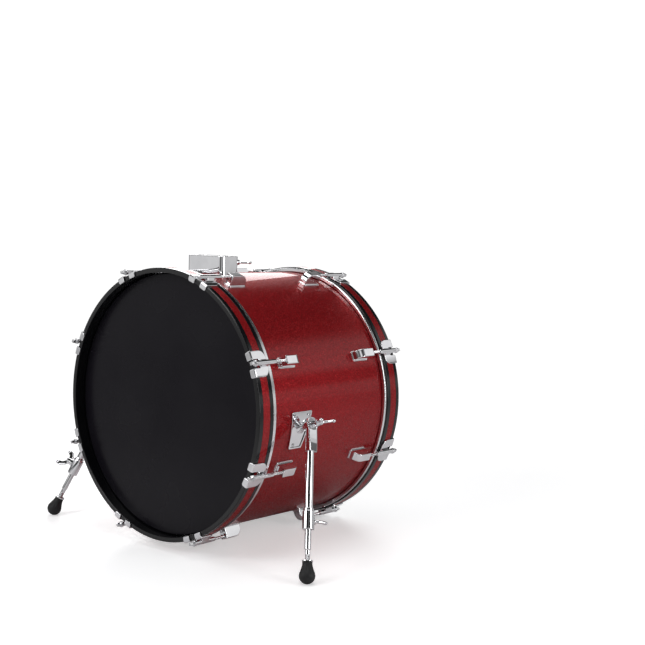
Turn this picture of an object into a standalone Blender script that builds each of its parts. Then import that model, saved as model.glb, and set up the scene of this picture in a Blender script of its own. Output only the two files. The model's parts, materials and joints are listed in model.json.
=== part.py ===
"""Bass drum, 22 x 16 inch: shell, heads, hoops, claws, tension rods, tom bracket and folding spurs.

Run with:  blender --background --python part.py

Units are metres and +Z is up. The drum's axis lies along Y, with the front head at -Y. The pieces are modelled in
the drum's own frame, with its origin at the drum's centre, and hang from the empty "drum_frame". That empty lifts
the drum and tips its front up, so that it stands on its rear hoop and its two spur feet, with the floor at Z = 0.
"""

import math

import bmesh
import bpy
from mathutils import Matrix, Vector

GAP = 0.0003
FRONT_RAISE = math.radians(2.5)

# Shell, heads and hoops
RING_STEPS = 48
SHELL_RADIUS = 0.2794
SHELL_WALL = 0.0070
SHELL_HALF_LENGTH = 0.2032
BEARING_EDGE_OUTER = 0.0020
BEARING_EDGE_INNER = 0.0050
FILM_THICKNESS = 0.0004
HOOP_INNER_RADIUS = 0.2812
HOOP_OUTER_RADIUS = 0.2915
HOOP_OUTER_EDGE = 0.2290
HOOP_WIDTH = 0.0420
HOOP_CHAMFER = 0.0015
INLAY_WIDTH = 0.0200
INLAY_DEPTH = 0.0012
FLESH_INNER_RADIUS = 0.2805
FLESH_OUTER_RADIUS = 0.2888
FLESH_CHAMFER = 0.0020
FRONT_FLESH_WIDTH = 0.0105
REAR_FLESH_WIDTH = 0.0060

# Tensioning, in eight places round each end
TENSION_POINTS = 8
FIRST_TENSION_ANGLE = math.radians(22.5)
ROD_CIRCLE_RADIUS = 0.2995
ROD_RADIUS = 0.0030
ROD_HOLE_RADIUS = 0.0036
ROD_LENGTH = 0.1050
ROD_COLLAR_RADIUS = 0.0058
ROD_COLLAR_HEIGHT = 0.0016
ROD_NECK_RADIUS = 0.0034
ROD_HEAD_WIDTH = 0.0064
ROD_HEAD_TOP = 0.0105
CLAW_HALF_WIDTH = 0.0275
CLAW_SLOT_HALF_WIDTH = 0.0090
CLAW_SLOT_END = -0.0160
CLAW_WALL = 0.0030
CLAW_LIP_DEPTH = 0.0105
CLAW_REAR = -0.0380
CLAW_SLEEVE_RADIUS = 0.0052
CLAW_SLEEVE_FRONT = 0.0025
CLAW_SLEEVE_REAR = -0.0580
LUG_HOOP_END = 0.1430
LUG_LENGTH = 0.0460
LUG_HEIGHT = 0.0260
LUG_HALF_WIDTH = 0.0090
LUG_NOSE_RADIUS = 0.0180
LUG_FLANGE_HALF_WIDTH = 0.0112
LUG_FLANGE_HEIGHT = 0.0026
LUG_BORE_DEPTH = 0.0350
LUG_ROOT = -0.0020

# Tom bracket, on top of the shell
BRACKET_Y = -0.0790
BRACKET_HALF_WIDTH = 0.0545
BRACKET_HALF_DEPTH = 0.0280
BRACKET_TOP = 0.3180
BRACKET_UNDERCUT = 0.2700
BRACKET_CORNER = 0.0120
BRACKET_BASE_RADIUS = 0.2808
SOCKET_OFFSET = 0.0373
SOCKET_RADIUS = 0.0113
SOCKET_FLOOR = 0.2870
BRACKET_BOLT_HEIGHT = 0.3040

# Wing bolts
BOLT_RADIUS = 0.0036
BOLT_HOLE_RADIUS = 0.0042
WING_THICKNESS = 0.0045
WING_REACH = 0.0235
WING_END_RADIUS = 0.0048
WING_HEIGHT = 0.0290
HUB_RADIUS = 0.0073
HUB_TOP_RADIUS = 0.0056
HUB_HEIGHT = 0.0140
PIVOT_BOLT_SHANK = 0.0220
PIVOT_BOLT_NECK = 0.0110
BOLT_NECK_RADIUS = 0.0058
PIVOT_BOLT_TURN = math.radians(100)
COLLAR_BOLT_TURNS = {"left": math.radians(37), "right": math.radians(90)}

# Spurs
PIVOT = Vector((0.3075, -0.0940, -0.0176))
FOOT_X = 0.3962
FOOT_Y = -0.2082
FOOT_BALL_RADIUS = 0.0163
PLATE_FRONT_Y = -0.1225
PLATE_REAR_Y = -0.0605
PLATE_LOW_REAR_Y = -0.0850
PLATE_TOP_ANGLE = math.radians(1.4)
PLATE_BOTTOM_ANGLE = math.radians(-14.5)
PLATE_INNER_RADIUS = SHELL_RADIUS + GAP
PLATE_OUTER_RADIUS = 0.2836
ARM_RADIUS = 0.0078
ARM_REACH = -0.0400
FIXED_DISC_RADIUS = 0.0132
FIXED_DISC_FACE = -0.0068
FIXED_DISC_BACK = -0.0108
LEG_DISC_RADIUS = 0.0155
LEG_DISC_HALF_WIDTH = 0.0065
SOCKET_TOP_RADIUS = 0.0126
SOCKET_END_RADIUS = 0.0100
LEG_SOCKET_TOP = -0.0040
LEG_SOCKET_END = -0.0570
TUBE_RADIUS = 0.0082
TUBE_BORE = 0.0069
TUBE_END = -0.2050
TUBE_BORE_TOP = -0.0620
COLLAR_RADIUS = 0.0120
COLLAR_TOP = -0.1740
COLLAR_END = -0.2165
COLLAR_LIP = -0.2080
COLLAR_BOSS_RADIUS = 0.0078
COLLAR_BOSS_REACH = 0.0185
COLLAR_BOLT_Z = -0.1950
COLLAR_BOSS_ANGLES = {"left": 0.0, "right": math.radians(112.5)}
INNER_ROD_RADIUS = 0.0064
INNER_ROD_TOP = -0.1300
TIP_RADIUS = 0.0052
NUT_RADIUS = 0.0112
NUT_HEIGHT = 0.0030
STUD_RADIUS = 0.0040
STUD_LENGTH = 0.0160
FOOT_TOP_RADIUS = 0.0100
FOOT_LENGTH = 0.0270

COLLECTION = "bass_drum"
CUTTERS = "bass_drum_cutters"

COLOURS = {
    "red_sparkle": ((0.20, 0.010, 0.014), 0.16, 0.35),
    "black_lacquer": ((0.008, 0.008, 0.009), 0.12, 0.0),
    "black_film": ((0.012, 0.012, 0.014), 0.22, 0.0),
    "aluminium": ((0.78, 0.78, 0.80), 0.28, 1.0),
    "chrome": ((0.80, 0.80, 0.82), 0.08, 1.0),
    "steel": ((0.62, 0.62, 0.64), 0.20, 1.0),
    "rubber": ((0.015, 0.015, 0.016), 0.70, 0.0),
    "gasket": ((0.02, 0.02, 0.02), 0.60, 0.0),
}


# ---------------------------------------------------------------- scene, collections and materials

def clear_scene():
    for item in list(bpy.data.objects):
        bpy.data.objects.remove(item, do_unlink=True)


def make_collection(name):
    collection = bpy.data.collections.new(name)
    bpy.context.scene.collection.children.link(collection)
    return collection


def make_materials():
    materials = {}
    for name, (colour, roughness, metallic) in COLOURS.items():
        material = bpy.data.materials.new(name)
        material.use_nodes = True
        shader = material.node_tree.nodes["Principled BSDF"]
        shader.inputs["Base Color"].default_value = (*colour, 1.0)
        shader.inputs["Roughness"].default_value = roughness
        shader.inputs["Metallic"].default_value = metallic
        material.diffuse_color = (*colour, 1.0)
        materials[name] = material
    return materials


def link(item, collection):
    for old in list(item.users_collection):
        old.objects.unlink(item)
    collection.objects.link(item)


# ---------------------------------------------------------------- shapes

def mesh_object(name, mesh):
    item = bpy.data.objects.new(name, mesh)
    CUTTER_COLLECTION.objects.link(item)
    item.hide_render = True
    item.display_type = "WIRE"
    return item


def baked(item):
    """Turns an object with modifiers, or a curve, into a plain mesh object and removes the original."""
    bpy.context.view_layer.update()
    evaluated = item.evaluated_get(bpy.context.evaluated_depsgraph_get())
    mesh = bpy.data.meshes.new_from_object(evaluated)
    mesh.transform(item.matrix_world)
    name = item.name
    bpy.data.objects.remove(item, do_unlink=True)
    mesh.name = name
    mesh.materials.clear()
    return mesh_object(name, mesh)


def turned(name, profile, steps, closed=True):
    """A profile of (radius, z) points, running down its outer side, turned about Z."""
    mesh = bpy.data.meshes.new(name)
    points = [(radius, 0.0, z) for radius, z in profile]
    edges = [(i, i + 1) for i in range(len(points) - 1)]
    if closed:
        edges.append((len(points) - 1, 0))
    mesh.from_pydata(points, edges, [])
    item = mesh_object(name, mesh)
    screw = item.modifiers.new("Screw", "SCREW")
    screw.steps = steps
    screw.render_steps = steps
    screw.use_merge_vertices = True
    screw.merge_threshold = 0.00002
    screw.use_smooth_shade = False
    return baked(item)


def cylinder(name, radius, low, high, steps=12):
    return turned(name, [(0, high), (radius, high), (radius, low), (0, low)], steps, closed=False)


def box(name, low, high):
    shape = bmesh.new()
    bmesh.ops.create_cube(shape, size=1.0)
    low, high = Vector(low), Vector(high)
    bmesh.ops.scale(shape, vec=high - low, verts=shape.verts)
    bmesh.ops.translate(shape, vec=(low + high) / 2, verts=shape.verts)
    mesh = bpy.data.meshes.new(name)
    shape.to_mesh(mesh)
    shape.free()
    return mesh_object(name, mesh)


def plate(name, outline, thickness):
    """A flat outline in XY with its thickness centred on Z = 0."""
    curve = bpy.data.curves.new(name, "CURVE")
    curve.dimensions = "2D"
    curve.fill_mode = "BOTH"
    curve.extrude = thickness / 2
    spline = curve.splines.new("POLY")
    spline.points.add(len(outline) - 1)
    for point, (x, y) in zip(spline.points, outline):
        point.co = (x, y, 0, 1)
    spline.use_cyclic_u = True
    item = bpy.data.objects.new(name, curve)
    CUTTER_COLLECTION.objects.link(item)
    item = baked(item)
    shape = bmesh.new()
    shape.from_mesh(item.data)
    bmesh.ops.remove_doubles(shape, verts=shape.verts, dist=0.00001)
    bmesh.ops.recalc_face_normals(shape, faces=shape.faces)
    shape.to_mesh(item.data)
    shape.free()
    return item


def arc(centre, radius, start, end, count):
    """Points on a circle, from one angle in degrees to another."""
    angles = [math.radians(start + (end - start) * i / count) for i in range(count + 1)]
    return [(centre[0] + radius * math.cos(a), centre[1] + radius * math.sin(a)) for a in angles]


def rounded_rectangle(half_x, half_y, corner, count=4):
    outline = []
    for sx, sy, start in ((1, 1, 0), (-1, 1, 90), (-1, -1, 180), (1, -1, 270)):
        centre = (sx * (half_x - corner), sy * (half_y - corner))
        outline += arc(centre, corner, start, start + 90, count)
    return outline


def moved(item, matrix):
    item.data.transform(matrix)
    return item


def combined(item, others, operation):
    """Applies one Boolean after another to a mesh object; the others are used up."""
    for other in others:
        modifier = item.modifiers.new("Boolean", "BOOLEAN")
        modifier.operation = operation
        modifier.solver = "EXACT"
        modifier.object = other
        item = baked(item)
        bpy.data.objects.remove(other, do_unlink=True)
    return item


def joined(item, *others):
    return combined(item, others, "UNION")


def cut(item, *others):
    return combined(item, others, "DIFFERENCE")


def common(item, *others):
    return combined(item, others, "INTERSECT")


def place(item, name, material, parent, matrix=None):
    """Makes a finished node of a shape: its name, material, collection, parent and place in that parent."""
    item.name = name
    item.data.name = name
    item.hide_render = False
    item.display_type = "TEXTURED"
    link(item, PART_COLLECTION)
    if not item.data.materials:
        item.data.materials.append(MATERIALS[material])
    item.data.shade_smooth()
    item.data.set_sharp_from_angle(angle=math.radians(35))
    item.parent = parent
    if matrix is not None:
        item.matrix_local = matrix
    return item


def copy_of(template, name, material, parent, matrix):
    return place(mesh_object(name, template.data), name, material, parent, matrix)


def empty(name, parent, matrix):
    item = bpy.data.objects.new(name, None)
    item.empty_display_size = 0.03
    PART_COLLECTION.objects.link(item)
    item.parent = parent
    item.matrix_local = matrix
    return item


def frame_matrix(x_axis, y_axis, z_axis, origin):
    """A matrix whose columns are three perpendicular axes and an origin."""
    matrix = Matrix((x_axis, y_axis, z_axis)).transposed().to_4x4()
    matrix.translation = origin
    return matrix


# ---------------------------------------------------------------- where things go

Z_TO_Y = Matrix.Rotation(math.radians(-90), 4, "X")


def end_profile(profile, end):
    """Mirrors a profile for the front end, in reverse order so that it still runs down its outer side."""
    if end > 0:
        return profile
    return [(radius, -z) for radius, z in reversed(profile)]


def hoop_profile():
    """The rear hoop's section, with the inlay's groove in its outer face."""
    outer_edge = HOOP_OUTER_EDGE
    inner_edge = HOOP_OUTER_EDGE - HOOP_WIDTH
    middle = (outer_edge + inner_edge) / 2
    groove = HOOP_OUTER_RADIUS - INLAY_DEPTH
    return [
        (HOOP_INNER_RADIUS + HOOP_CHAMFER, outer_edge),
        (HOOP_OUTER_RADIUS - HOOP_CHAMFER, outer_edge),
        (HOOP_OUTER_RADIUS, outer_edge - HOOP_CHAMFER),
        (HOOP_OUTER_RADIUS, middle + INLAY_WIDTH / 2),
        (groove, middle + INLAY_WIDTH / 2),
        (groove, middle - INLAY_WIDTH / 2),
        (HOOP_OUTER_RADIUS, middle - INLAY_WIDTH / 2),
        (HOOP_OUTER_RADIUS, inner_edge + HOOP_CHAMFER),
        (HOOP_OUTER_RADIUS - HOOP_CHAMFER, inner_edge),
        (HOOP_INNER_RADIUS, inner_edge),
        (HOOP_INNER_RADIUS, outer_edge - HOOP_CHAMFER),
    ]


def drum_height():
    """The drum centre's height when the tipped rear hoop's lowest edge touches the floor."""
    drops = [r * math.cos(FRONT_RAISE) + z * math.sin(FRONT_RAISE) for r, z in hoop_profile()]
    return max(drops)


def tension_places():
    """(end, number, matrix) for each tension point: X tangential, Y axial and outward, Z radial."""
    for end, label in ((-1, "front"), (1, "rear")):
        for number in range(TENSION_POINTS):
            angle = FIRST_TENSION_ANGLE + number * 2 * math.pi / TENSION_POINTS
            radial = Vector((math.cos(angle), 0, math.sin(angle)))
            axial = Vector((0, end, 0))
            tangent = axial.cross(radial)
            yield label, number + 1, frame_matrix(tangent, axial, radial, Vector((0, 0, 0)))


# ---------------------------------------------------------------- shell, heads and hoops

def lug_shape():
    """A lug standing on the shell: X tangential, Y towards the hoop, Z radial from the drum's axis."""
    low = LUG_ROOT
    far = LUG_HOOP_END - LUG_LENGTH
    nose = (LUG_NOSE_RADIUS + far, LUG_HEIGHT - LUG_NOSE_RADIUS)
    side = [(far, low)] + list(reversed(arc(nose, LUG_NOSE_RADIUS, 90, 180, 4)))
    side += [(LUG_HOOP_END - 0.002, LUG_HEIGHT), (LUG_HOOP_END, LUG_HEIGHT - 0.002), (LUG_HOOP_END, low)]
    body = plate("lug", side, 2 * LUG_HALF_WIDTH)
    moved(body, Matrix(((0, 0, 1, 0), (1, 0, 0, 0), (0, 1, 0, 0), (0, 0, 0, 1))))
    flange_low = (-LUG_FLANGE_HALF_WIDTH, far - 0.0015, low)
    flange_high = (LUG_FLANGE_HALF_WIDTH, LUG_HOOP_END + 0.0015, LUG_FLANGE_HEIGHT)
    body = joined(body, box("flange", flange_low, flange_high))
    bore = cylinder("bore", ROD_HOLE_RADIUS, LUG_HOOP_END - LUG_BORE_DEPTH, LUG_HOOP_END + 0.01, 10)
    moved(bore, Matrix.Translation((0, 0, ROD_CIRCLE_RADIUS - SHELL_RADIUS)) @ Z_TO_Y)
    body = cut(body, bore)
    return moved(body, Matrix.Translation((0, 0, SHELL_RADIUS)))


def make_shell(parent):
    inner = SHELL_RADIUS - SHELL_WALL
    peak = SHELL_RADIUS - BEARING_EDGE_OUTER
    half = SHELL_HALF_LENGTH
    profile = [
        (inner, half - BEARING_EDGE_INNER),
        (peak, half),
        (SHELL_RADIUS, half - BEARING_EDGE_OUTER),
        (SHELL_RADIUS, -half + BEARING_EDGE_OUTER),
        (peak, -half),
        (inner, -half + BEARING_EDGE_INNER),
    ]
    shell = moved(turned("shell", profile, RING_STEPS), Z_TO_Y)
    lug = lug_shape()
    lugs = []
    for _, _, matrix in tension_places():
        lugs.append(moved(mesh_object("lug_copy", lug.data.copy()), matrix))
    bpy.data.objects.remove(lug, do_unlink=True)
    place(joined(shell, *lugs), "shell", "red_sparkle", parent)


def make_rings(parent):
    middle = HOOP_OUTER_EDGE - HOOP_WIDTH / 2
    inlay_outer = HOOP_OUTER_RADIUS - GAP / 2
    inlay_inner = HOOP_OUTER_RADIUS - INLAY_DEPTH + GAP
    inlay_half = INLAY_WIDTH / 2 - GAP
    film = SHELL_HALF_LENGTH + GAP
    film_inner = SHELL_RADIUS + GAP
    film_outer = film_inner + FILM_THICKNESS
    bend = 0.0012
    for end, label, flesh_width in ((-1, "front", FRONT_FLESH_WIDTH), (1, "rear", REAR_FLESH_WIDTH)):
        hoop = turned("hoop", end_profile(hoop_profile(), end), RING_STEPS)
        place(hoop, label + "_hoop", "black_lacquer", parent, Z_TO_Y)

        inlay = [
            (inlay_inner, middle + inlay_half),
            (inlay_outer, middle + inlay_half),
            (inlay_outer, middle - inlay_half),
            (inlay_inner, middle - inlay_half),
        ]
        inlay = turned("inlay", end_profile(inlay, end), RING_STEPS)
        place(inlay, label + "_hoop_inlay", "red_sparkle", parent, Z_TO_Y)

        flesh_top = HOOP_OUTER_EDGE - HOOP_WIDTH - GAP
        flesh_low = flesh_top - flesh_width
        flesh = [
            (FLESH_INNER_RADIUS, flesh_top),
            (FLESH_OUTER_RADIUS, flesh_top),
            (FLESH_OUTER_RADIUS, flesh_low + FLESH_CHAMFER),
            (FLESH_OUTER_RADIUS - FLESH_CHAMFER, flesh_low),
            (FLESH_INNER_RADIUS, flesh_low),
        ]
        flesh = turned("flesh", end_profile(flesh, end), RING_STEPS)
        place(flesh, label + "_flesh_hoop", "aluminium", parent, Z_TO_Y)

        film_end = flesh_low + 0.0015
        head = [
            (0, film + FILM_THICKNESS),
            (film_outer - bend, film + FILM_THICKNESS),
            (film_outer, film + FILM_THICKNESS - bend),
            (film_outer, film_end),
            (film_inner, film_end),
            (film_inner, film - bend),
            (film_inner - bend, film),
            (0, film),
        ]
        head = turned("head", end_profile(head, end), RING_STEPS, closed=False)
        place(head, label + "_head", "black_film", parent, Z_TO_Y)


# ---------------------------------------------------------------- claws and tension rods

def claw_shape():
    """A claw on its hoop: Y = 0 at the hoop's outer edge, Z = 0 on its outer face."""
    front = GAP + CLAW_WALL
    top = GAP + CLAW_WALL
    right = [(CLAW_SLOT_HALF_WIDTH, CLAW_SLOT_END), (CLAW_SLOT_HALF_WIDTH, front), (CLAW_HALF_WIDTH, front)]
    right += arc((0.0115, -0.022), 0.016, 0, -90, 5)
    left = [(-x, y) for x, y in reversed(right)]
    body = plate("claw", list(reversed(right + left)), CLAW_WALL)
    moved(body, Matrix.Translation((0, 0, GAP + CLAW_WALL / 2)))
    for side in (-1, 1):
        edges = sorted((side * CLAW_SLOT_HALF_WIDTH, side * CLAW_HALF_WIDTH))
        lip = box("lip", (edges[0], GAP, -CLAW_LIP_DEPTH), (edges[1], front, top))
        body = joined(body, lip)
    height = ROD_CIRCLE_RADIUS - HOOP_OUTER_RADIUS
    to_rod = Matrix.Translation((0, 0, height)) @ Z_TO_Y
    sleeve = cylinder("sleeve", CLAW_SLEEVE_RADIUS, CLAW_SLEEVE_REAR, CLAW_SLEEVE_FRONT, 12)
    body = joined(body, moved(sleeve, to_rod))
    hole = cylinder("hole", ROD_HOLE_RADIUS, CLAW_SLEEVE_REAR - 0.01, CLAW_SLEEVE_FRONT + 0.01, 12)
    body = cut(body, moved(hole, to_rod))
    return moved(body, Matrix.Translation((0, HOOP_OUTER_EDGE, HOOP_OUTER_RADIUS)))


def rod_shape():
    """A tension rod along Z, with the underside of its washer collar at Z = 0."""
    neck_top = ROD_COLLAR_HEIGHT + 0.0012
    profile = [
        (0, neck_top),
        (ROD_NECK_RADIUS, neck_top),
        (ROD_NECK_RADIUS, ROD_COLLAR_HEIGHT),
        (ROD_COLLAR_RADIUS, ROD_COLLAR_HEIGHT),
        (ROD_COLLAR_RADIUS, 0),
        (ROD_RADIUS, 0),
        (ROD_RADIUS, -ROD_LENGTH),
        (0, -ROD_LENGTH),
    ]
    rod = turned("rod", profile, 10, closed=False)
    half = ROD_HEAD_WIDTH / 2
    head = box("key_head", (-half, -half, neck_top - 0.0005), (half, half, ROD_HEAD_TOP))
    return joined(rod, head)


def make_tensioning(parent):
    claw = claw_shape()
    rod = rod_shape()
    collar_y = HOOP_OUTER_EDGE + CLAW_SLEEVE_FRONT + GAP
    rod_place = Matrix.Translation((0, collar_y, ROD_CIRCLE_RADIUS)) @ Z_TO_Y
    for label, number, matrix in tension_places():
        copy_of(claw, f"{label}_claw_{number}", "chrome", parent, matrix)
        copy_of(rod, f"{label}_tension_rod_{number}", "steel", parent, matrix @ rod_place)
    bpy.data.objects.remove(claw, do_unlink=True)
    bpy.data.objects.remove(rod, do_unlink=True)


# ---------------------------------------------------------------- wing bolts and tom bracket

def wing_bolt_shape(shank, neck=0.0):
    """A wing bolt along Z, seated at Z = 0: an optional neck, then the hub, with its wings in the XZ plane."""
    hub = [
        (0, neck + HUB_HEIGHT),
        (HUB_TOP_RADIUS, neck + HUB_HEIGHT),
        (HUB_RADIUS, neck),
    ]
    if neck:
        hub += [(BOLT_NECK_RADIUS, neck), (BOLT_NECK_RADIUS, 0)]
    hub += [(BOLT_RADIUS, 0), (BOLT_RADIUS, -shank), (0, -shank)]
    bolt = turned("bolt", hub, 12, closed=False)
    wing_end = (WING_REACH - WING_END_RADIUS, WING_HEIGHT)
    right = [(0.0040, 0.0020), (WING_REACH - 0.0015, 0.0190)]
    right += arc(wing_end, WING_END_RADIUS, -20, 140, 4)
    right += [(0.0045, 0.0165)]
    left = [(-x, z) for x, z in reversed(right)]
    wings = plate("wings", right + left, WING_THICKNESS)
    moved(wings, Matrix.Translation((0, 0, neck)) @ Matrix.Rotation(math.radians(90), 4, "X"))
    return joined(bolt, wings)


def make_tom_bracket(parent):
    outline = rounded_rectangle(BRACKET_HALF_WIDTH, BRACKET_HALF_DEPTH, BRACKET_CORNER)
    height = BRACKET_TOP - BRACKET_UNDERCUT
    to_place = Matrix.Translation((0, BRACKET_Y, BRACKET_UNDERCUT + height / 2))
    block = moved(plate("block", outline, height), to_place)
    shell_core = moved(cylinder("core", BRACKET_BASE_RADIUS, -0.15, 0.15, RING_STEPS), Z_TO_Y)
    block = cut(block, shell_core)
    for side in (-1, 1):
        socket = cylinder("socket", SOCKET_RADIUS, SOCKET_FLOOR, BRACKET_TOP + 0.01, 24)
        moved(socket, Matrix.Translation((side * SOCKET_OFFSET, BRACKET_Y, 0)))
        bolt_hole = cylinder("bolt_hole", BOLT_HOLE_RADIUS, 0, BRACKET_HALF_DEPTH + 0.01, 12)
        centre = (side * SOCKET_OFFSET, BRACKET_Y, BRACKET_BOLT_HEIGHT)
        moved(bolt_hole, Matrix.Translation(centre) @ Z_TO_Y)
        block = cut(block, socket, bolt_hole)
    place(block, "tom_bracket", "chrome", parent)

    ring = [
        (SHELL_RADIUS + GAP, 0.15),
        (BRACKET_BASE_RADIUS - GAP, 0.15),
        (BRACKET_BASE_RADIUS - GAP, -0.15),
        (SHELL_RADIUS + GAP, -0.15),
    ]
    gasket = moved(turned("gasket", ring, RING_STEPS), Z_TO_Y)
    pad = plate("pad", outline, height)
    gasket = common(gasket, moved(pad, to_place))
    place(gasket, "tom_bracket_gasket", "gasket", parent)

    rear_face = BRACKET_Y + BRACKET_HALF_DEPTH
    for side, label in ((-1, "left"), (1, "right")):
        bolt = wing_bolt_shape(BRACKET_HALF_DEPTH - SOCKET_RADIUS - 0.001)
        seat = Matrix.Translation((side * SOCKET_OFFSET, rear_face + GAP, BRACKET_BOLT_HEIGHT)) @ Z_TO_Y
        place(bolt, f"{label}_tom_wing_bolt", "chrome", parent, seat)


# ---------------------------------------------------------------- spurs

def spur_plate(side, axis_frame):
    """The bracket plate on the shell, its arm and the fixed half of the pivot."""
    top = (SHELL_RADIUS + 0.002) * math.sin(PLATE_TOP_ANGLE)
    bottom = (SHELL_RADIUS + 0.002) * math.sin(PLATE_BOTTOM_ANGLE)
    outline = [(PLATE_FRONT_Y, bottom), (PLATE_LOW_REAR_Y, bottom), (PLATE_REAR_Y, top), (PLATE_FRONT_Y, top)]
    slab = plate("slab", outline, 0.06)
    turn = Matrix(((0, 0, 1, 0), (1, 0, 0, 0), (0, 1, 0, 0), (0, 0, 0, 1)))
    moved(slab, Matrix.Translation((side * 0.28, 0, 0)) @ turn)
    core = moved(cylinder("core", PLATE_INNER_RADIUS, -0.20, 0.20, RING_STEPS), Z_TO_Y)
    body = common(moved(cylinder("drum", PLATE_OUTER_RADIUS, -0.19, 0.19, RING_STEPS), Z_TO_Y), slab)
    along_axis = axis_frame @ Matrix.Rotation(math.radians(90), 4, "Y")
    arm = moved(cylinder("arm", ARM_RADIUS, ARM_REACH, FIXED_DISC_FACE, 12), along_axis)
    disc = moved(cylinder("disc", FIXED_DISC_RADIUS, FIXED_DISC_BACK, FIXED_DISC_FACE, 20), along_axis)
    hole = moved(cylinder("hole", BOLT_HOLE_RADIUS, -0.0180, 0, 12), along_axis)
    return cut(joined(body, arm, disc), core, hole)


def spur_leg():
    """The pivot casting and the tube pressed into it. Z runs up the leg and X along the pivot's axis."""
    along_x = Matrix.Rotation(math.radians(90), 4, "Y")
    disc = cylinder("disc", LEG_DISC_RADIUS, -LEG_DISC_HALF_WIDTH, LEG_DISC_HALF_WIDTH, 20)
    socket = [
        (0, LEG_SOCKET_TOP),
        (SOCKET_TOP_RADIUS, LEG_SOCKET_TOP),
        (SOCKET_END_RADIUS, LEG_SOCKET_END),
        (TUBE_RADIUS, LEG_SOCKET_END),
        (TUBE_RADIUS, TUBE_END),
        (TUBE_BORE, TUBE_END),
        (TUBE_BORE, TUBE_BORE_TOP),
        (0, TUBE_BORE_TOP),
    ]
    body = joined(turned("socket", socket, 16, closed=False), moved(disc, along_x))
    hole = moved(cylinder("hole", BOLT_HOLE_RADIUS, -0.02, 0.02, 12), along_x)
    face = box("face", (LEG_DISC_HALF_WIDTH, -0.02, -0.02), (0.03, 0.02, 0.02))
    back = box("back", (-0.03, -0.02, -0.02), (-LEG_DISC_HALF_WIDTH, 0.02, 0.02))
    return cut(body, hole, face, back)


def spur_collar():
    """The clamp collar on the tube's end, with a boss along X for its wing bolt."""
    profile = [
        (TUBE_RADIUS + GAP, COLLAR_TOP),
        (COLLAR_RADIUS, COLLAR_TOP),
        (COLLAR_RADIUS, COLLAR_END),
        (TUBE_BORE, COLLAR_END),
        (TUBE_BORE, COLLAR_LIP),
        (TUBE_RADIUS + GAP, COLLAR_LIP),
    ]
    body = turned("collar", profile, 16)
    along_x = Matrix.Translation((0, 0, COLLAR_BOLT_Z)) @ Matrix.Rotation(math.radians(90), 4, "Y")
    boss = moved(cylinder("boss", COLLAR_BOSS_RADIUS, 0.0087, COLLAR_BOSS_REACH, 12), along_x)
    hole = moved(cylinder("hole", BOLT_HOLE_RADIUS, 0.0050, COLLAR_BOSS_REACH + 0.01, 12), along_x)
    return cut(joined(body, boss), hole)


def spur_rod(foot_top):
    """The telescoping rod, its thinner tip, the flange nut and the stud that carries the foot."""
    nut_top = foot_top + GAP + NUT_HEIGHT
    tip_top = nut_top + 0.0215
    profile = [
        (0, INNER_ROD_TOP),
        (INNER_ROD_RADIUS, INNER_ROD_TOP),
        (INNER_ROD_RADIUS, tip_top),
        (TIP_RADIUS, tip_top - 0.002),
        (TIP_RADIUS, nut_top),
        (NUT_RADIUS, nut_top),
        (NUT_RADIUS, nut_top - NUT_HEIGHT),
        (STUD_RADIUS, nut_top - NUT_HEIGHT),
        (STUD_RADIUS, nut_top - NUT_HEIGHT - STUD_LENGTH),
        (0, nut_top - NUT_HEIGHT - STUD_LENGTH),
    ]
    return turned("inner_rod", profile, 16, closed=False)


def spur_foot(ball_z, foot_top):
    """The bell-shaped rubber foot: a cone that ends in a ball, bored for the rod's stud."""
    hole = STUD_RADIUS + 0.0004
    floor = foot_top - STUD_LENGTH - 0.001
    ball = arc((0, ball_z), FOOT_BALL_RADIUS, 25, -90, 9)
    profile = [(0, floor), (hole, floor), (hole, foot_top), (FOOT_TOP_RADIUS, foot_top)] + ball[:-1]
    profile.append((0, ball_z - FOOT_BALL_RADIUS))
    return turned("foot", profile, 20, closed=False)


def make_spur(parent, side, label):
    lift = parent.matrix_local.inverted()
    ball_centre = lift @ Vector((side * FOOT_X, FOOT_Y, FOOT_BALL_RADIUS))
    pivot = Vector((side * PIVOT.x, PIVOT.y, PIVOT.z))
    leg = ball_centre - pivot
    length = leg.length
    up = -leg.normalized()
    outward = Vector((up.z, 0, -up.x)).normalized() * side
    across = up.cross(outward)
    axis_frame = frame_matrix(outward, across, up, pivot)

    place(spur_plate(side, axis_frame), f"{label}_spur_bracket", "chrome", parent)
    pivot_frame = empty(f"{label}_spur_pivot", parent, axis_frame)
    place(spur_leg(), f"{label}_spur_leg", "chrome", pivot_frame)
    boss_turn = Matrix.Rotation(COLLAR_BOSS_ANGLES[label], 4, "Z")
    place(spur_collar(), f"{label}_spur_collar", "chrome", pivot_frame, boss_turn)

    along_x = Matrix.Rotation(math.radians(90), 4, "Y")
    seat = Matrix.Translation((LEG_DISC_HALF_WIDTH + GAP, 0, 0)) @ along_x
    turn = Matrix.Rotation(side * PIVOT_BOLT_TURN, 4, "Z")
    bolt = wing_bolt_shape(PIVOT_BOLT_SHANK, PIVOT_BOLT_NECK)
    place(bolt, f"{label}_spur_pivot_bolt", "chrome", pivot_frame, seat @ turn)
    seat = boss_turn @ Matrix.Translation((COLLAR_BOSS_REACH + GAP, 0, COLLAR_BOLT_Z)) @ along_x
    turn = Matrix.Rotation(COLLAR_BOLT_TURNS[label], 4, "Z")
    bolt = wing_bolt_shape(COLLAR_BOSS_REACH - TUBE_RADIUS - 0.001)
    place(bolt, f"{label}_spur_collar_bolt", "chrome", pivot_frame, seat @ turn)

    foot_top = -length + FOOT_LENGTH
    place(spur_rod(foot_top), f"{label}_spur_rod", "steel", pivot_frame)
    place(spur_foot(-length, foot_top), f"{label}_spur_foot", "rubber", pivot_frame)


# ---------------------------------------------------------------- the drum

clear_scene()
PART_COLLECTION = make_collection(COLLECTION)
CUTTER_COLLECTION = make_collection(CUTTERS)
MATERIALS = make_materials()

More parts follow.
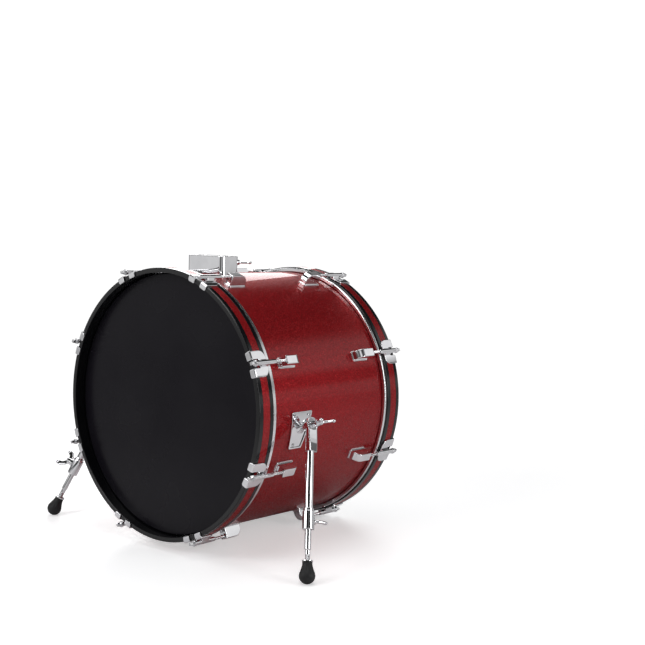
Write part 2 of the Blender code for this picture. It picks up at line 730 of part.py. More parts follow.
tip = Matrix.Translation((0, 0, drum_height())) @ Matrix.Rotation(-FRONT_RAISE, 4, "X")
drum_frame = empty("drum_frame", None, tip)
make_shell(drum_frame)
make_rings(drum_frame)
make_tensioning(drum_frame)
make_tom_bracket(drum_frame)
make_spur(drum_frame, -1, "left")
make_spur(drum_frame, 1, "right")
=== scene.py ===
"""Looks for a 22 x 16 inch bass drum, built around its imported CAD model.

Units are metres and +Z is up, in the CAD model's own frame. Round the drum, a piece is modelled in the
frame of its tension rod: X tangential, Y along the drum's axis and outward from its middle, Z radial. A
spur's pieces are modelled in the frame of its pivot: X outward along the pivot's axis, Z up the leg.
"""

import json
from math import atan2, ceil, cos, pi, radians, sin, sqrt, tan, tau

import bmesh
import bpy
from mathutils import Matrix, Vector


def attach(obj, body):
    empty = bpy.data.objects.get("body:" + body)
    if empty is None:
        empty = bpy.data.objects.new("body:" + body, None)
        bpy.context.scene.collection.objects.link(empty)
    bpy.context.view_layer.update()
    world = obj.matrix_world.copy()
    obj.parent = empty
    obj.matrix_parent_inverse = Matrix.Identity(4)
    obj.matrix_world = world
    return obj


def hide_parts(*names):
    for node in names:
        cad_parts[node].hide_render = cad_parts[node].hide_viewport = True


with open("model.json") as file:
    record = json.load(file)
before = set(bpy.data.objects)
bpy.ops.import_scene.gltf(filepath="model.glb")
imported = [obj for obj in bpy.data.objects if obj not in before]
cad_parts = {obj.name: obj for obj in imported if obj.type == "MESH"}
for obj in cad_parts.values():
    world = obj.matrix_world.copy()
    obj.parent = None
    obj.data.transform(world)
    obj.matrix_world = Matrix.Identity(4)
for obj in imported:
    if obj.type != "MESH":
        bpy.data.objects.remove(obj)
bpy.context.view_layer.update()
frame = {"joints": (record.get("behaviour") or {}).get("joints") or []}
JOINTS = {joint["name"]: joint for joint in frame["joints"]}

# Driving sizes, the same as the CAD model's
GAP = 0.0003
RING_STEPS = 192
SHELL_RADIUS = 0.2794
SHELL_WALL = 0.007
SHELL_HALF_LENGTH = 0.2032
WRAP_THICKNESS = 0.0005
WRAP_HALF_LENGTH = 0.195
FILM_THICKNESS = 0.0004
HOOP_INNER_RADIUS = 0.2812
HOOP_OUTER_RADIUS = 0.2915
HOOP_OUTER_EDGE = 0.229
HOOP_WIDTH = 0.042
INLAY_WIDTH = 0.02
INLAY_DEPTH = 0.0012
FLESH_INNER_RADIUS = 0.2805
FLESH_OUTER_RADIUS = 0.2888
FLESH_WIDTHS = {"front": 0.0105, "rear": 0.006}

CLAW_HALF_WIDTH = 0.0275
CLAW_SLOT_HALF_WIDTH = 0.009
CLAW_SLOT_END = -0.016
CLAW_REAR = -0.038
CLAW_WALL = 0.003
CLAW_LIP_DEPTH = 0.0105
CLAW_CORNER = 0.016
CLAW_BEND = 0.0006
SLEEVE_FRONT = 0.0025
SLEEVE_REAR = -0.058
SLEEVE_RADIUS = 0.0052

ROD_RADIUS = 0.003
ROD_HOLE_RADIUS = 0.0036
ROD_LENGTH = 0.105
ROD_COLLAR_RADIUS = 0.0058
ROD_COLLAR_HEIGHT = 0.0016
ROD_NECK_TOP = 0.003
ROD_HEAD_WIDTH = 0.0064
ROD_HEAD_TOP = 0.0105
THREAD_TOP = -0.063
THREAD_END = -0.091
THREAD_PITCH = 0.00106
THREAD_DEPTH = 0.00038

LUG_HOOP_END = 0.143
LUG_LENGTH = 0.046
LUG_HEIGHT = 0.026
LUG_HALF_WIDTH = 0.009
LUG_NOSE_RADIUS = 0.018
LUG_FLANGE_HALF_WIDTH = 0.0112
LUG_FLANGE_HEIGHT = 0.0028
LUG_FLANGE_MARGIN = 0.0015
LUG_SCREWS = (0.107, 0.133)

BRACKET_Y = -0.079
BRACKET_HALF_WIDTH = 0.0545
BRACKET_HALF_DEPTH = 0.028
BRACKET_TOP = 0.318
BRACKET_UNDERCUT = 0.27
BRACKET_CORNER = 0.012
BRACKET_BASE_RADIUS = 0.2808
SOCKET_OFFSET = 0.0373
SOCKET_RADIUS = 0.0113
SOCKET_FLOOR = 0.287

HUB_RADIUS = 0.0073
HUB_TOP_RADIUS = 0.0056
HUB_HEIGHT = 0.014
WING_REACH = 0.0235
WING_HEIGHT = 0.029
WING_END_RADIUS = 0.0048
WING_THICKNESS = 0.0052
BOLT_RADIUS = 0.0036

PLATE_FRONT_Y = -0.1225
PLATE_REAR_Y = -0.0605
PLATE_LOW_REAR_Y = -0.085
PLATE_TOP_ANGLE = radians(1.4)
PLATE_BOTTOM_ANGLE = radians(-14.5)
PLATE_THICKNESS = 0.0039
FIXED_DISC_RADIUS = 0.0132
FIXED_DISC_FACE = -0.0068
TOOTH_COUNT = 28
TOOTH_DEPTH = 0.0007
LEG_DISC_RADIUS = 0.0155
LEG_DISC_HALF_WIDTH = 0.0065
PIVOT_BOLT_TURNS = {"left": -100.0, "right": 100.0}
COLLAR_BOLT_TURNS = {"left": 37.0, "right": 90.0}
PIVOT_BOLT_SHANK = 0.022
PIVOT_BOLT_NECK = 0.011
SOCKET_END = -0.057
TUBE_RADIUS = 0.0082
TUBE_BORE = 0.0069
TUBE_END = -0.205
COLLAR_RADIUS = 0.012
COLLAR_TOP = -0.174
COLLAR_END = -0.2165
COLLAR_BOLT_Z = -0.195
COLLAR_BOSS_RADIUS = 0.0078
COLLAR_BOSS_REACH = 0.0185
INNER_ROD_RADIUS = 0.0064
INNER_ROD_TOP = -0.13
TIP_RADIUS = 0.0052
TIP_LENGTH = 0.0215
NUT_RADIUS = 0.0112
NUT_HEIGHT = 0.003
STUD_RADIUS = 0.004
STUD_LENGTH = 0.016
FOOT_BALL_RADIUS = 0.0163
FOOT_TOP_RADIUS = 0.01
FOOT_LENGTH = 0.027


# ---- camera, light and floor

LENS = 67.9
CAMERA_PLACE = (1.909, -1.9482, 0.7614)
CAMERA_TURN = (radians(83.855), 0.0, radians(40.256))
FLOOR_RADIUS = 9.0
FLOOR_FADE = (0.9, 2.4)
FLOOR_GLOW = 0.45
FAR_FLOOR = 0.42
FLOOR_IN_REFLECTIONS = (0.8, 0.79, 0.8)
WHITE_STRENGTH = 1.05
ROOM_STRENGTH = 0.9
ROOM_FRONT = (-0.62, -0.78, 0.0)

# Brightness of the room, from straight down (0) to straight up (1)
ROOM_BY_HEIGHT = (
    (0.0, 0.5), (0.46, 0.62), (0.52, 0.78), (0.535, 0.76), (0.56, 0.16), (0.6, 0.14), (0.64, 1.05),
    (0.74, 1.05), (0.78, 0.16), (0.9, 0.1), (1.0, 0.45))

# Brightness of the room, from the side away from ROOM_FRONT (0) to the side towards it (1)
ROOM_BY_SIDE = (
    (0.0, 1.0), (0.06, 0.85), (0.1, 0.3), (0.2, 0.12), (0.3, 0.06), (0.4, 0.55), (0.5, 1.0), (0.6, 0.3),
    (0.7, 0.05), (0.82, 0.35), (0.9, 0.9), (1.0, 1.0))

# Place, width, height and power in watts of each softbox, all turned to LIGHT_TARGET
LIGHT_TARGET = (0.0, 0.0, 0.3)
SOFTBOXES = {
    "key_light": ((-0.9, -2.9, 2.3), 1.7, 1.9, 44),
    "side_light": ((3.3, 0.5, 1.0), 1.0, 1.8, 34),
    "top_light": ((0.2, 0.1, 3.0), 2.6, 2.2, 34),
    "back_light": ((-2.4, 2.2, 1.7), 1.4, 1.8, 30),
}


def make_camera():
    data = bpy.data.cameras.new("camera")
    data.lens = LENS
    data.sensor_width = 36.0
    camera = bpy.data.objects.new("camera", data)
    camera.location = CAMERA_PLACE
    camera.rotation_euler = CAMERA_TURN
    bpy.context.scene.collection.objects.link(camera)
    bpy.context.scene.camera = camera


def make_softbox(name, place, width, height, power):
    data = bpy.data.lights.new(name, "AREA")
    data.shape = "RECTANGLE"
    data.size = width
    data.size_y = height
    data.energy = power
    light = bpy.data.objects.new(name, data)
    light.location = place
    light.rotation_euler = (Vector(LIGHT_TARGET) - Vector(place)).to_track_quat("-Z", "Y").to_euler()
    bpy.context.scene.collection.objects.link(light)


def make_world():
    """White to the camera; to the drum, a studio whose bright and darker walls give chrome its contrast."""
    world = bpy.data.worlds.new("studio")
    world.use_nodes = True
    tree = world.node_tree
    tree.nodes.clear()
    direction = add_node(tree, "TexCoord").outputs["Generated"]
    rise = add_node(tree, "SeparateXYZ", Vector=direction).outputs["Z"]
    height = linked_ramp(tree, rise, -1.0, 1.0, ROOM_BY_HEIGHT)
    facing = vector_math(tree, "DOT_PRODUCT", direction, ROOM_FRONT)
    around = linked_ramp(tree, facing, -1.0, 1.0, ROOM_BY_SIDE)
    walls = vector_math(tree, "MULTIPLY", height, around)
    room = add_node(tree, "Background", Strength=ROOM_STRENGTH, Color=walls)
    backdrop = add_node(tree, "Background", Strength=WHITE_STRENGTH, Color=(1.0, 1.0, 1.0, 1.0))
    add_node(tree, "OutputWorld", Surface=by_ray(tree, backdrop, room))
    bpy.context.scene.world = world


def floor_material():
    """A pale floor that runs out into the white backdrop, and shows darker in the drum's reflections."""
    material, tree, shader = new_material("pale_floor", (0.88, 0.88, 0.89), 0.55)
    vector = object_vector(tree)
    feed(tree, shader, "Base Color", noise(tree, vector, 3.0),
         (0.3, (0.87, 0.87, 0.88)), (0.7, (0.89, 0.89, 0.9)))
    glow = add_node(tree, "Emission", Strength=FLOOR_GLOW)
    bright = tree.nodes.new("ShaderNodeAddShader")
    tree.links.new(shader.outputs["BSDF"], bright.inputs[0])
    tree.links.new(glow.outputs["Emission"], bright.inputs[1])
    dark = add_node(tree, "BsdfDiffuse", Color=(*FLOOR_IN_REFLECTIONS, 1.0))
    white = add_node(tree, "Emission", Strength=WHITE_STRENGTH)
    dim = add_node(tree, "Emission", Strength=FAR_FLOOR)
    distance = vector_math(tree, "LENGTH", vector)
    fade = linked_ramp(tree, distance, *FLOOR_FADE, ((0.0, 0.0), (1.0, 1.0)))
    surface = mixed_shader(tree, fade, by_ray(tree, bright, dark), by_ray(tree, white, dim))
    tree.links.new(surface, tree.nodes["Material Output"].inputs["Surface"])
    return material


def make_stage():
    scene = bpy.context.scene
    scene.view_settings.view_transform = "Standard"
    scene.view_settings.look = "None"
    make_world()
    for name, (spot, width, height, power) in SOFTBOXES.items():
        make_softbox(name, spot, width, height, power)
    floor = bmesh.new()
    bmesh.ops.create_circle(floor, cap_ends=True, radius=FLOOR_RADIUS, segments=96)
    floor = place_object("floor", mesh_of(floor), None)
    floor.data.materials.append(floor_material())


# ---- mesh work

SIDEWAYS = Matrix(((0, 0, 1, 0), (1, 0, 0, 0), (0, 1, 0, 0), (0, 0, 0, 1)))    # (x, y, z) goes to (z, x, y)
Z_TO_Y = Matrix.Rotation(radians(-90), 4, "X")
Z_TO_X = Matrix.Rotation(radians(90), 4, "Y")
Y_TO_Z = Matrix.Rotation(radians(90), 4, "X")
UPSIDE_DOWN = Matrix.Rotation(pi, 4, "X")


def shift(x, y, z):
    return Matrix.Translation((x, y, z))


def mesh_of(shape):
    mesh = bpy.data.meshes.new("mesh")
    bmesh.ops.recalc_face_normals(shape, faces=shape.faces)
    shape.to_mesh(mesh)
    shape.free()
    return mesh


def place_object(name, mesh, matrix):
    mesh.name = name
    item = bpy.data.objects.new(name, mesh)
    bpy.context.scene.collection.objects.link(item)
    if matrix is not None:
        item.matrix_world = matrix
    return item


def evaluated(mesh, add_modifiers):
    """The mesh as the modifiers that add_modifiers(item) gives it leave it."""
    item = place_object("work", mesh, None)
    add_modifiers(item)
    bpy.context.view_layer.update()
    result = bpy.data.meshes.new_from_object(item.evaluated_get(bpy.context.evaluated_depsgraph_get()))
    bpy.data.objects.remove(item, do_unlink=True)
    return result


def boolean(mesh, tools, operation):
    for tool in tools:
        cutter = place_object("tool", tool, None)

        def add(item):
            modifier = item.modifiers.new("Boolean", "BOOLEAN")
            modifier.operation = operation
            modifier.solver = "EXACT"
            modifier.object = cutter

        mesh = evaluated(mesh, add)
        bpy.data.objects.remove(cutter, do_unlink=True)
    return mesh


def union(mesh, *others):
    return boolean(mesh, others, "UNION")


def cut(mesh, *others):
    return boolean(mesh, others, "DIFFERENCE")


def bevelled(mesh, width, segments=3, angle=30):
    def add(item):
        modifier = item.modifiers.new("Bevel", "BEVEL")
        modifier.width = width
        modifier.segments = segments
        modifier.limit_method = "ANGLE"
        modifier.angle_limit = radians(angle)

    return evaluated(mesh, add)


def cast(mesh, voxel, rounds, keep):
    """Melts joined shapes into one soft-edged casting, then thins its mesh to the share keep."""
    def add(item):
        remesh = item.modifiers.new("Remesh", "REMESH")
        remesh.mode = "VOXEL"
        remesh.voxel_size = voxel
        smooth = item.modifiers.new("Smooth", "SMOOTH")
        smooth.factor = 0.5
        smooth.iterations = rounds
        thin = item.modifiers.new("Decimate", "DECIMATE")
        thin.ratio = keep

    return evaluated(mesh, add)


def moved(mesh, matrix):
    mesh.transform(matrix)
    if matrix.determinant() < 0:
        mesh.flip_normals()
    return mesh


def copied(mesh, matrix):
    return moved(mesh.copy(), matrix)


def merged(*meshes):
    """Several closed meshes as one; a mesh with an own_slot keeps its faces in that material slot."""
    shape = bmesh.new()
    for mesh in meshes:
        start = len(shape.faces)
        shape.from_mesh(mesh)
        shape.faces.ensure_lookup_table()
        if mesh.get("own_slot"):
            for face in shape.faces[start:]:
                face.material_index = mesh["own_slot"]
    result = bpy.data.meshes.new("mesh")
    shape.to_mesh(result)
    shape.free()
    return result


def warped(mesh, rule, slices=()):
    """Cuts the mesh at the planes in slices, (axis, place) each, then moves every vertex by the rule."""
    shape = bmesh.new()
    shape.from_mesh(mesh)
    for axis, place in slices:
        normal = Vector((axis == 0, axis == 1, axis == 2))
        everything = shape.verts[:] + shape.edges[:] + shape.faces[:]
        bmesh.ops.bisect_plane(shape, geom=everything, dist=1e-7, plane_co=normal * place, plane_no=normal)
    bmesh.ops.triangulate(shape, faces=[face for face in shape.faces if len(face.verts) > 4])
    for vertex in shape.verts:
        vertex.co = rule(vertex.co)
    return mesh_of(shape)


def spread(low, high, count):
    return [low + (high - low) * i / count for i in range(count + 1)]


def fillet(points, radius=0.0, steps=4):
    """Rounds the corners of a closed outline. A point may carry its own radius as a third value."""
    outline = []
    for i, point in enumerate(points):
        corner = Vector(point[:2])
        size = point[2] if len(point) > 2 else radius
        before = (Vector(points[i - 1][:2]) - corner).normalized()
        after = (Vector(points[(i + 1) % len(points)][:2]) - corner).normalized()
        angle = before.angle(after)
        if size == 0 or angle > radians(176):
            outline.append(corner)
            continue
        centre = corner + (before + after).normalized() * size / sin(angle / 2)
        start = corner + before * size / tan(angle / 2) - centre
        end = corner + after * size / tan(angle / 2) - centre
        turn = atan2(start.x * end.y - start.y * end.x, start.dot(end))
        for step in range(steps + 1):
            outline.append(centre + Matrix.Rotation(turn * step / steps, 2) @ start)
    return [tuple(point) for point in outline]


def arc(centre, radius, start, end, count):
    angles = [radians(angle) for angle in spread(start, end, count)]
    return [(centre[0] + radius * cos(a), centre[1] + radius * sin(a)) for a in angles]


def joined(shape, rings, steps):
    """Joins each ring of vertices to the next. A ring of one vertex is a point on the axis."""
    for upper, lower in zip(rings, rings[1:]):
        for step in range(steps):
            following = (step + 1) % steps
            corners = [upper[step % len(upper)], lower[step % len(lower)]]
            corners += [lower[following % len(lower)], upper[following % len(upper)]]
            shape.faces.new(list(dict.fromkeys(corners)))
    return mesh_of(shape)


def lathe(profile, steps=48, closed=False, wave=None):
    """Turns a profile of (radius, z) about Z. wave(angle, z) is added to the radius."""
    shape = bmesh.new()
    rings = []
    for radius, z in profile:
        if radius < 1e-6:
            rings.append([shape.verts.new((0, 0, z))])
            continue
        ring = []
        for step in range(steps):
            angle = tau * step / steps
            reach = radius + (wave(angle, z) if wave else 0)
            ring.append(shape.verts.new((reach * cos(angle), reach * sin(angle), z)))
        rings.append(ring)
    return joined(shape, rings + rings[:1] if closed else rings, steps)


def cylinder(radius, high, low, steps=32):
    return lathe([(0, high), (radius, high), (radius, low), (0, low)], steps)


def turned_ring(profile):
    """A full ring of the drum, turned about Z from a closed profile."""
    return shaded(lathe(profile, RING_STEPS, closed=True))


def thread(low, high):
    """A lathe's wave that cuts a screw thread between two heights."""
    def wave(angle, z):
        if not low < z < high:
            return 0.0
        phase = (z / THREAD_PITCH + angle / tau) % 1.0
        return -THREAD_DEPTH * (1 - abs(2 * phase - 1))

    return wave


def lofted(sections):
    """A solid through outlines with the same number of points."""
    shape = bmesh.new()
    rows = [[shape.verts.new(point) for point in section] for section in sections]
    shape.faces.new(rows[0])
    shape.faces.new(rows[-1])
    for upper, lower in zip(rows, rows[1:]):
        for i in range(len(upper)):
            shape.faces.new((upper[i - 1], upper[i], lower[i], lower[i - 1]))
    return mesh_of(shape)


def slab(outline, low, high, bevel=0.0, segments=3):
    """An outline in XY made solid from low to high along Z, with rounded edges."""
    mesh = lofted([[(x, y, z) for x, y in outline] for z in (low, high)])
    return bevelled(mesh, bevel, segments) if bevel else mesh


def rectangle(half_width, low, high, radius, steps=4):
    corners = [(-half_width, low), (half_width, low), (half_width, high), (-half_width, high)]
    return fillet(corners, radius, steps)


def shaded(mesh, angle=38):
    """Smooth shading that leaves flat faces flat."""
    mesh.shade_smooth()
    mesh.set_sharp_from_angle(angle=radians(angle))

    def add(item):
        modifier = item.modifiers.new("WeightedNormal", "WEIGHTED_NORMAL")
        modifier.keep_sharp = True

    return evaluated(mesh, add)


def piece(name, mesh, finish, matrix, *nodes, body="drum", slot=None):
    """A finished piece: it rides on its body, takes the materials its finish names and stands for CAD nodes.
    """
    item = place_object(name, mesh, matrix)
    if not mesh.materials:
        for material in finish.split():
            mesh.materials.append(MATERIALS[material])
    slot = slot or finish.split()[0]
    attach(item, body)
    if nodes:
        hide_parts(*nodes)


# ---- materials

def new_material(name, colour, roughness, metallic=0.0, **sockets):
    material = bpy.data.materials.new(name)
    material.use_nodes = True
    shader = material.node_tree.nodes["Principled BSDF"]
    shader.inputs["Base Color"].default_value = (*colour, 1.0)
    shader.inputs["Roughness"].default_value = roughness
    shader.inputs["Metallic"].default_value = metallic
    for socket, value in sockets.items():
        shader.inputs[socket.replace("_", " ")].default_value = value
    return material, material.node_tree, shader


def connect(tree, socket, value):
    """Gives a socket a plain value, or links it where the value is another node's output."""
    if isinstance(value, bpy.types.NodeSocket):
        tree.links.new(value, socket)
    else:
        socket.default_value = value


def add_node(tree, kind, **inputs):
    """A shader node with its inputs connected by name, an underscore standing for a space."""
    node = tree.nodes.new(f"ShaderNode{kind}")
    for name, value in inputs.items():
        connect(tree, node.inputs[name.replace("_", " ")], value)
    return node


def vector_math(tree, operation, *values, scale=None):
    node = tree.nodes.new("ShaderNodeVectorMath")
    node.operation = operation
    for socket, value in zip(node.inputs, values):
        connect(tree, socket, value)
    if scale is not None:
        node.inputs["Scale"].default_value = scale
    return node.outputs["Value" if operation in ("DOT_PRODUCT", "LENGTH") else "Vector"]


def mixed_shader(tree, factor, first, second):
    mix = tree.nodes.new("ShaderNodeMixShader")
    for socket, value in zip(mix.inputs, (factor, first, second)):
        tree.links.new(value, socket)
    return mix.outputs["Shader"]


def by_ray(tree, seen, reflected):
    """One shader for the camera's own rays and another for all other rays."""
    camera_ray = add_node(tree, "LightPath").outputs["Is Camera Ray"]
    return mixed_shader(tree, camera_ray, reflected.outputs[0], seen.outputs[0])


def object_vector(tree, scale=(1.0, 1.0, 1.0)):
    position = add_node(tree, "TexCoord").outputs["Object"]
    return add_node(tree, "Mapping", Vector=position, Scale=scale).outputs["Vector"]


def noise(tree, vector, scale, detail=3.0, roughness=0.5):
    texture = add_node(tree, "TexNoise", Vector=vector, Scale=scale, Detail=detail, Roughness=roughness)
    return texture.outputs["Fac"]


def ramped(tree, value, stops):
    """Maps a value from 0 to 1 onto colours, or onto grey levels where a stop gives one number."""
    node = add_node(tree, "ValToRGB", Fac=value)
    colours = []
    for position, colour in stops:
        colour = (colour,) * 3 if isinstance(colour, float) else colour
        colours.append((position, (*colour, 1.0)))
    ends = node.color_ramp.elements
    ends[0].position, ends[0].color = colours[0]
    ends[1].position, ends[1].color = colours[-1]
    for position, colour in colours[1:-1]:
        ends.new(position).color = colour
    return node.outputs["Color"]


def linked_ramp(tree, value, low, high, stops):
    """Grey levels along a value that runs from low to high."""
    to_unit = add_node(tree, "MapRange", Value=value, From_Min=low, From_Max=high)
    return ramped(tree, to_unit.outputs["Result"], stops)


def feed(tree, shader, socket, value, *stops):
    """Drives one of the shader's sockets by a value from 0 to 1, through a ramp."""
    tree.links.new(ramped(tree, value, stops), shader.inputs[socket])


def bumped(tree, shader, height, strength, distance):
    bump = add_node(tree, "Bump", Height=height, Strength=strength, Distance=distance)
    tree.links.new(bump.outputs["Normal"], shader.inputs["Normal"])


def sparkle_material():
    """Red flakes of two sizes under a clear gloss coat: each flake has its own colour and its own tilt."""
    material, tree, shader = new_material(
        "red_sparkle_wrap", (0.3, 0.01, 0.014), 0.34, 0.7, Coat_Weight=0.45, Coat_Roughness=0.035,
        Specular_IOR_Level=0.3, Specular_Tint=(0.55, 0.06, 0.07, 1.0))
    vector = object_vector(tree)
    flakes = add_node(tree, "TexVoronoi", Vector=vector, Scale=980.0).outputs["Color"]
    dust = add_node(tree, "TexVoronoi", Vector=vector, Scale=2400.0).outputs["Color"]
    flake_parts = add_node(tree, "SeparateColor", Color=flakes)
    flake_colour = ramped(tree, flake_parts.outputs["Red"], (
        (0.00, (0.18, 0.004, 0.007)),
        (0.5, (0.29, 0.009, 0.013)),
        (0.82, (0.38, 0.015, 0.019)),
        (0.95, (0.52, 0.034, 0.036)),
        (1.00, (0.76, 0.11, 0.1)),
    ))
    dust_parts = add_node(tree, "SeparateColor", Color=dust)
    dust_colour = ramped(tree, dust_parts.outputs["Green"], (
        (0.0, (0.2, 0.005, 0.008)), (0.7, (0.31, 0.01, 0.014)), (1.0, (0.44, 0.018, 0.022))))
    mix = tree.nodes.new("ShaderNodeMix")
    mix.data_type = "RGBA"
    for socket, value in (("Factor", 0.45), ("A", flake_colour), ("B", dust_colour)):
        connect(tree, mix.inputs[socket], value)
    tree.links.new(mix.outputs["Result"], shader.inputs["Base Color"])
    feed(tree, shader, "Roughness", flake_parts.outputs["Blue"], (0.0, 0.26), (1.0, 0.46))

    centred = vector_math(tree, "SUBTRACT", flakes, (0.5, 0.5, 0.5))
    tilt = vector_math(tree, "SCALE", centred, scale=0.55)
    tilted = vector_math(tree, "ADD", add_node(tree, "NewGeometry").outputs["Normal"], tilt)
    tree.links.new(vector_math(tree, "NORMALIZE", tilted), shader.inputs["Normal"])
    return material


def clouded_material(name, colour, roughness, metallic=0.0, stretch=(1.0, 1.0, 1.0), clouds=(), relief=None,
                     **sockets):
    """A material that varies with noise over its surface.

    Each row of clouds is a socket, a noise scale and detail, and the ramp's stops. The relief is a noise
    scale, a strength and a depth.
    """
    material, tree, shader = new_material(name, colour, roughness, metallic, **sockets)
    vector = object_vector(tree, stretch)
    for socket, scale, detail, *stops in clouds:
        feed(tree, shader, socket, noise(tree, vector, scale, detail), *stops)
    if relief:
        scale, strength, depth = relief
        bumped(tree, shader, noise(tree, vector, scale, 2.0), strength, depth)
    return material


def aluminium_material():
    """Rolled aluminium: fine lines run round the ring, so the grain depends on radius and width alone."""
    material, tree, shader = new_material("rolled_aluminium", (0.9, 0.9, 0.91), 0.2, 1.0)
    split = add_node(tree, "SeparateXYZ", Vector=add_node(tree, "TexCoord").outputs["Object"])
    flat = add_node(tree, "CombineXYZ", X=split.outputs["X"], Y=split.outputs["Y"])
    radius = vector_math(tree, "LENGTH", flat.outputs["Vector"])
    grain = add_node(tree, "CombineXYZ", X=radius, Y=split.outputs["Z"])
    lines = noise(tree, grain.outputs["Vector"], 2600.0)
    feed(tree, shader, "Roughness", lines, (0.3, 0.14), (0.7, 0.28))
    feed(tree, shader, "Base Color", lines, (0.3, (0.84, 0.84, 0.86)), (0.7, (0.95, 0.95, 0.96)))
    bumped(tree, shader, lines, 0.12, 0.0001)
    return material


def wood_material():
    """Maple ply: long grain round the shell, in three tones, with finer grain as a shallow relief."""
    material, tree, shader = new_material("maple_ply", (0.58, 0.38, 0.2), 0.42)
    grain = noise(tree, object_vector(tree, (40.0, 40.0, 7.0)), 1.0, 6.0, 0.6)
    feed(tree, shader, "Base Color", grain,
         (0.3, (0.44, 0.26, 0.12)), (0.5, (0.6, 0.4, 0.21)), (0.72, (0.72, 0.52, 0.31)))
    bumped(tree, shader, noise(tree, object_vector(tree, (400.0, 400.0, 30.0)), 1.0), 0.15, 0.0002)
    return material


MATERIALS = {
    "sparkle": sparkle_material(),
    "aluminium": aluminium_material(),
    "wood": wood_material(),
    "lacquer": clouded_material(
        "black_lacquer", (0.004, 0.004, 0.005), 0.14, Coat_Weight=0.25, Coat_Roughness=0.04,
        Specular_IOR_Level=0.35,
        clouds=[("Roughness", 22.0, 3.0, (0.35, 0.1), (0.7, 0.19))],
        relief=(160.0, 0.1, 0.0002)),
    "film": clouded_material(
        "black_film", (0.007, 0.006, 0.009), 0.24, Specular_IOR_Level=0.15,
        clouds=[("Roughness", 7.0, 4.0, (0.3, 0.2), (0.7, 0.3)),
                ("Base Color", 7.0, 4.0, (0.3, (0.006, 0.005, 0.008)), (0.7, (0.009, 0.008, 0.011)))],
        relief=(1400.0, 0.05, 0.0001)),
    "chrome": clouded_material(
        "chrome", (0.84, 0.84, 0.86), 0.04, 1.0,
        clouds=[("Roughness", 60.0, 4.0, (0.3, 0.02), (0.75, 0.07)),
                ("Base Color", 35.0, 3.0, (0.3, (0.8, 0.8, 0.82)), (0.7, (0.88, 0.88, 0.9)))],
        relief=(130.0, 0.06, 0.0003)),
    "steel": clouded_material(
        "plated_steel", (0.76, 0.76, 0.77), 0.14, 1.0, (900.0, 900.0, 25.0),
        clouds=[("Roughness", 1.0, 3.0, (0.3, 0.08), (0.75, 0.22)),
                ("Base Color", 1.0, 3.0, (0.3, (0.68, 0.68, 0.7)), (0.7, (0.8, 0.8, 0.81)))]),
    "rubber": clouded_material(
        "moulded_rubber", (0.012, 0.012, 0.013), 0.55, Specular_IOR_Level=0.35,
        clouds=[("Roughness", 90.0, 4.0, (0.3, 0.42), (0.75, 0.68)),
                ("Base Color", 90.0, 4.0, (0.3, (0.009, 0.009, 0.01)), (0.8, (0.02, 0.02, 0.021)))],
        relief=(1800.0, 0.25, 0.0001)),
}


# ---- frames, read from the joints

def joint_place(name):
    return Vector(JOINTS[name]["pos_m"])


def joint_axis(name):
    return Vector(JOINTS[name]["axis"]).normalized()


def body_of(joint):
    return JOINTS[joint]["child"]


def frame_matrix(x_axis, y_axis, z_axis, origin):
    matrix = Matrix((x_axis, y_axis, z_axis)).transposed().to_4x4()
    matrix.translation = origin
    return matrix


ROD_JOINTS = {
    (end, number): f"{end}_rod_{number}_turn" for end in ("front", "rear") for number in range(1, 9)
}
CENTRE = sum((joint_place(name) for name in ROD_JOINTS.values()), Vector()) / len(ROD_JOINTS)
DRUM_AXIS = joint_axis("rear_rod_1_turn")
DRUM = frame_matrix(Vector((1, 0, 0)), DRUM_AXIS, Vector((1, 0, 0)).cross(DRUM_AXIS), CENTRE)
RINGS = {"front": DRUM @ Z_TO_Y @ UPSIDE_DOWN, "rear": DRUM @ Z_TO_Y}


def tension_frame(end, number):
    name = ROD_JOINTS[end, number]
    axial = joint_axis(name)
    offset = joint_place(name) - CENTRE
    radial = (offset - axial * offset.dot(axial)).normalized()
    return frame_matrix(axial.cross(radial), axial, radial, CENTRE)


FIRST_ROD = joint_place("front_rod_1_turn") - CENTRE
ROD_SEAT_Y = -FIRST_ROD.dot(DRUM_AXIS)
ROD_CIRCLE_RADIUS = sqrt(FIRST_ROD.length_squared - ROD_SEAT_Y ** 2)
ROD_PLACE = shift(0, ROD_SEAT_Y, ROD_CIRCLE_RADIUS) @ Z_TO_Y


def tom_bolt_frame(name):
    """A tom bolt: its seat at the joint, Z along its axis, wings level."""
    axis = joint_axis(name)
    level = Vector((0, 0, 1)).cross(axis).normalized()
    return frame_matrix(level, axis.cross(level), axis, joint_place(name))


def spur_frame(label, joint, origin):
    """A frame with X along a spur bolt's axis and Z up the leg, with its origin at another joint."""
    outward = joint_axis(f"{label}_{joint}")
    up = -joint_axis(f"{label}_spur_extend")
    return frame_matrix(outward, up.cross(outward), up, joint_place(f"{label}_{origin}"))


def pivot_frame(label):
    return spur_frame(label, "pivot_bolt_turn", "spur_fold")


FOOT_BALL_Z = -(joint_place("right_foot_turn") - joint_place("right_spur_fold")).length
FOOT_TOP = FOOT_BALL_Z + FOOT_LENGTH


# ---- shell, heads and hoops

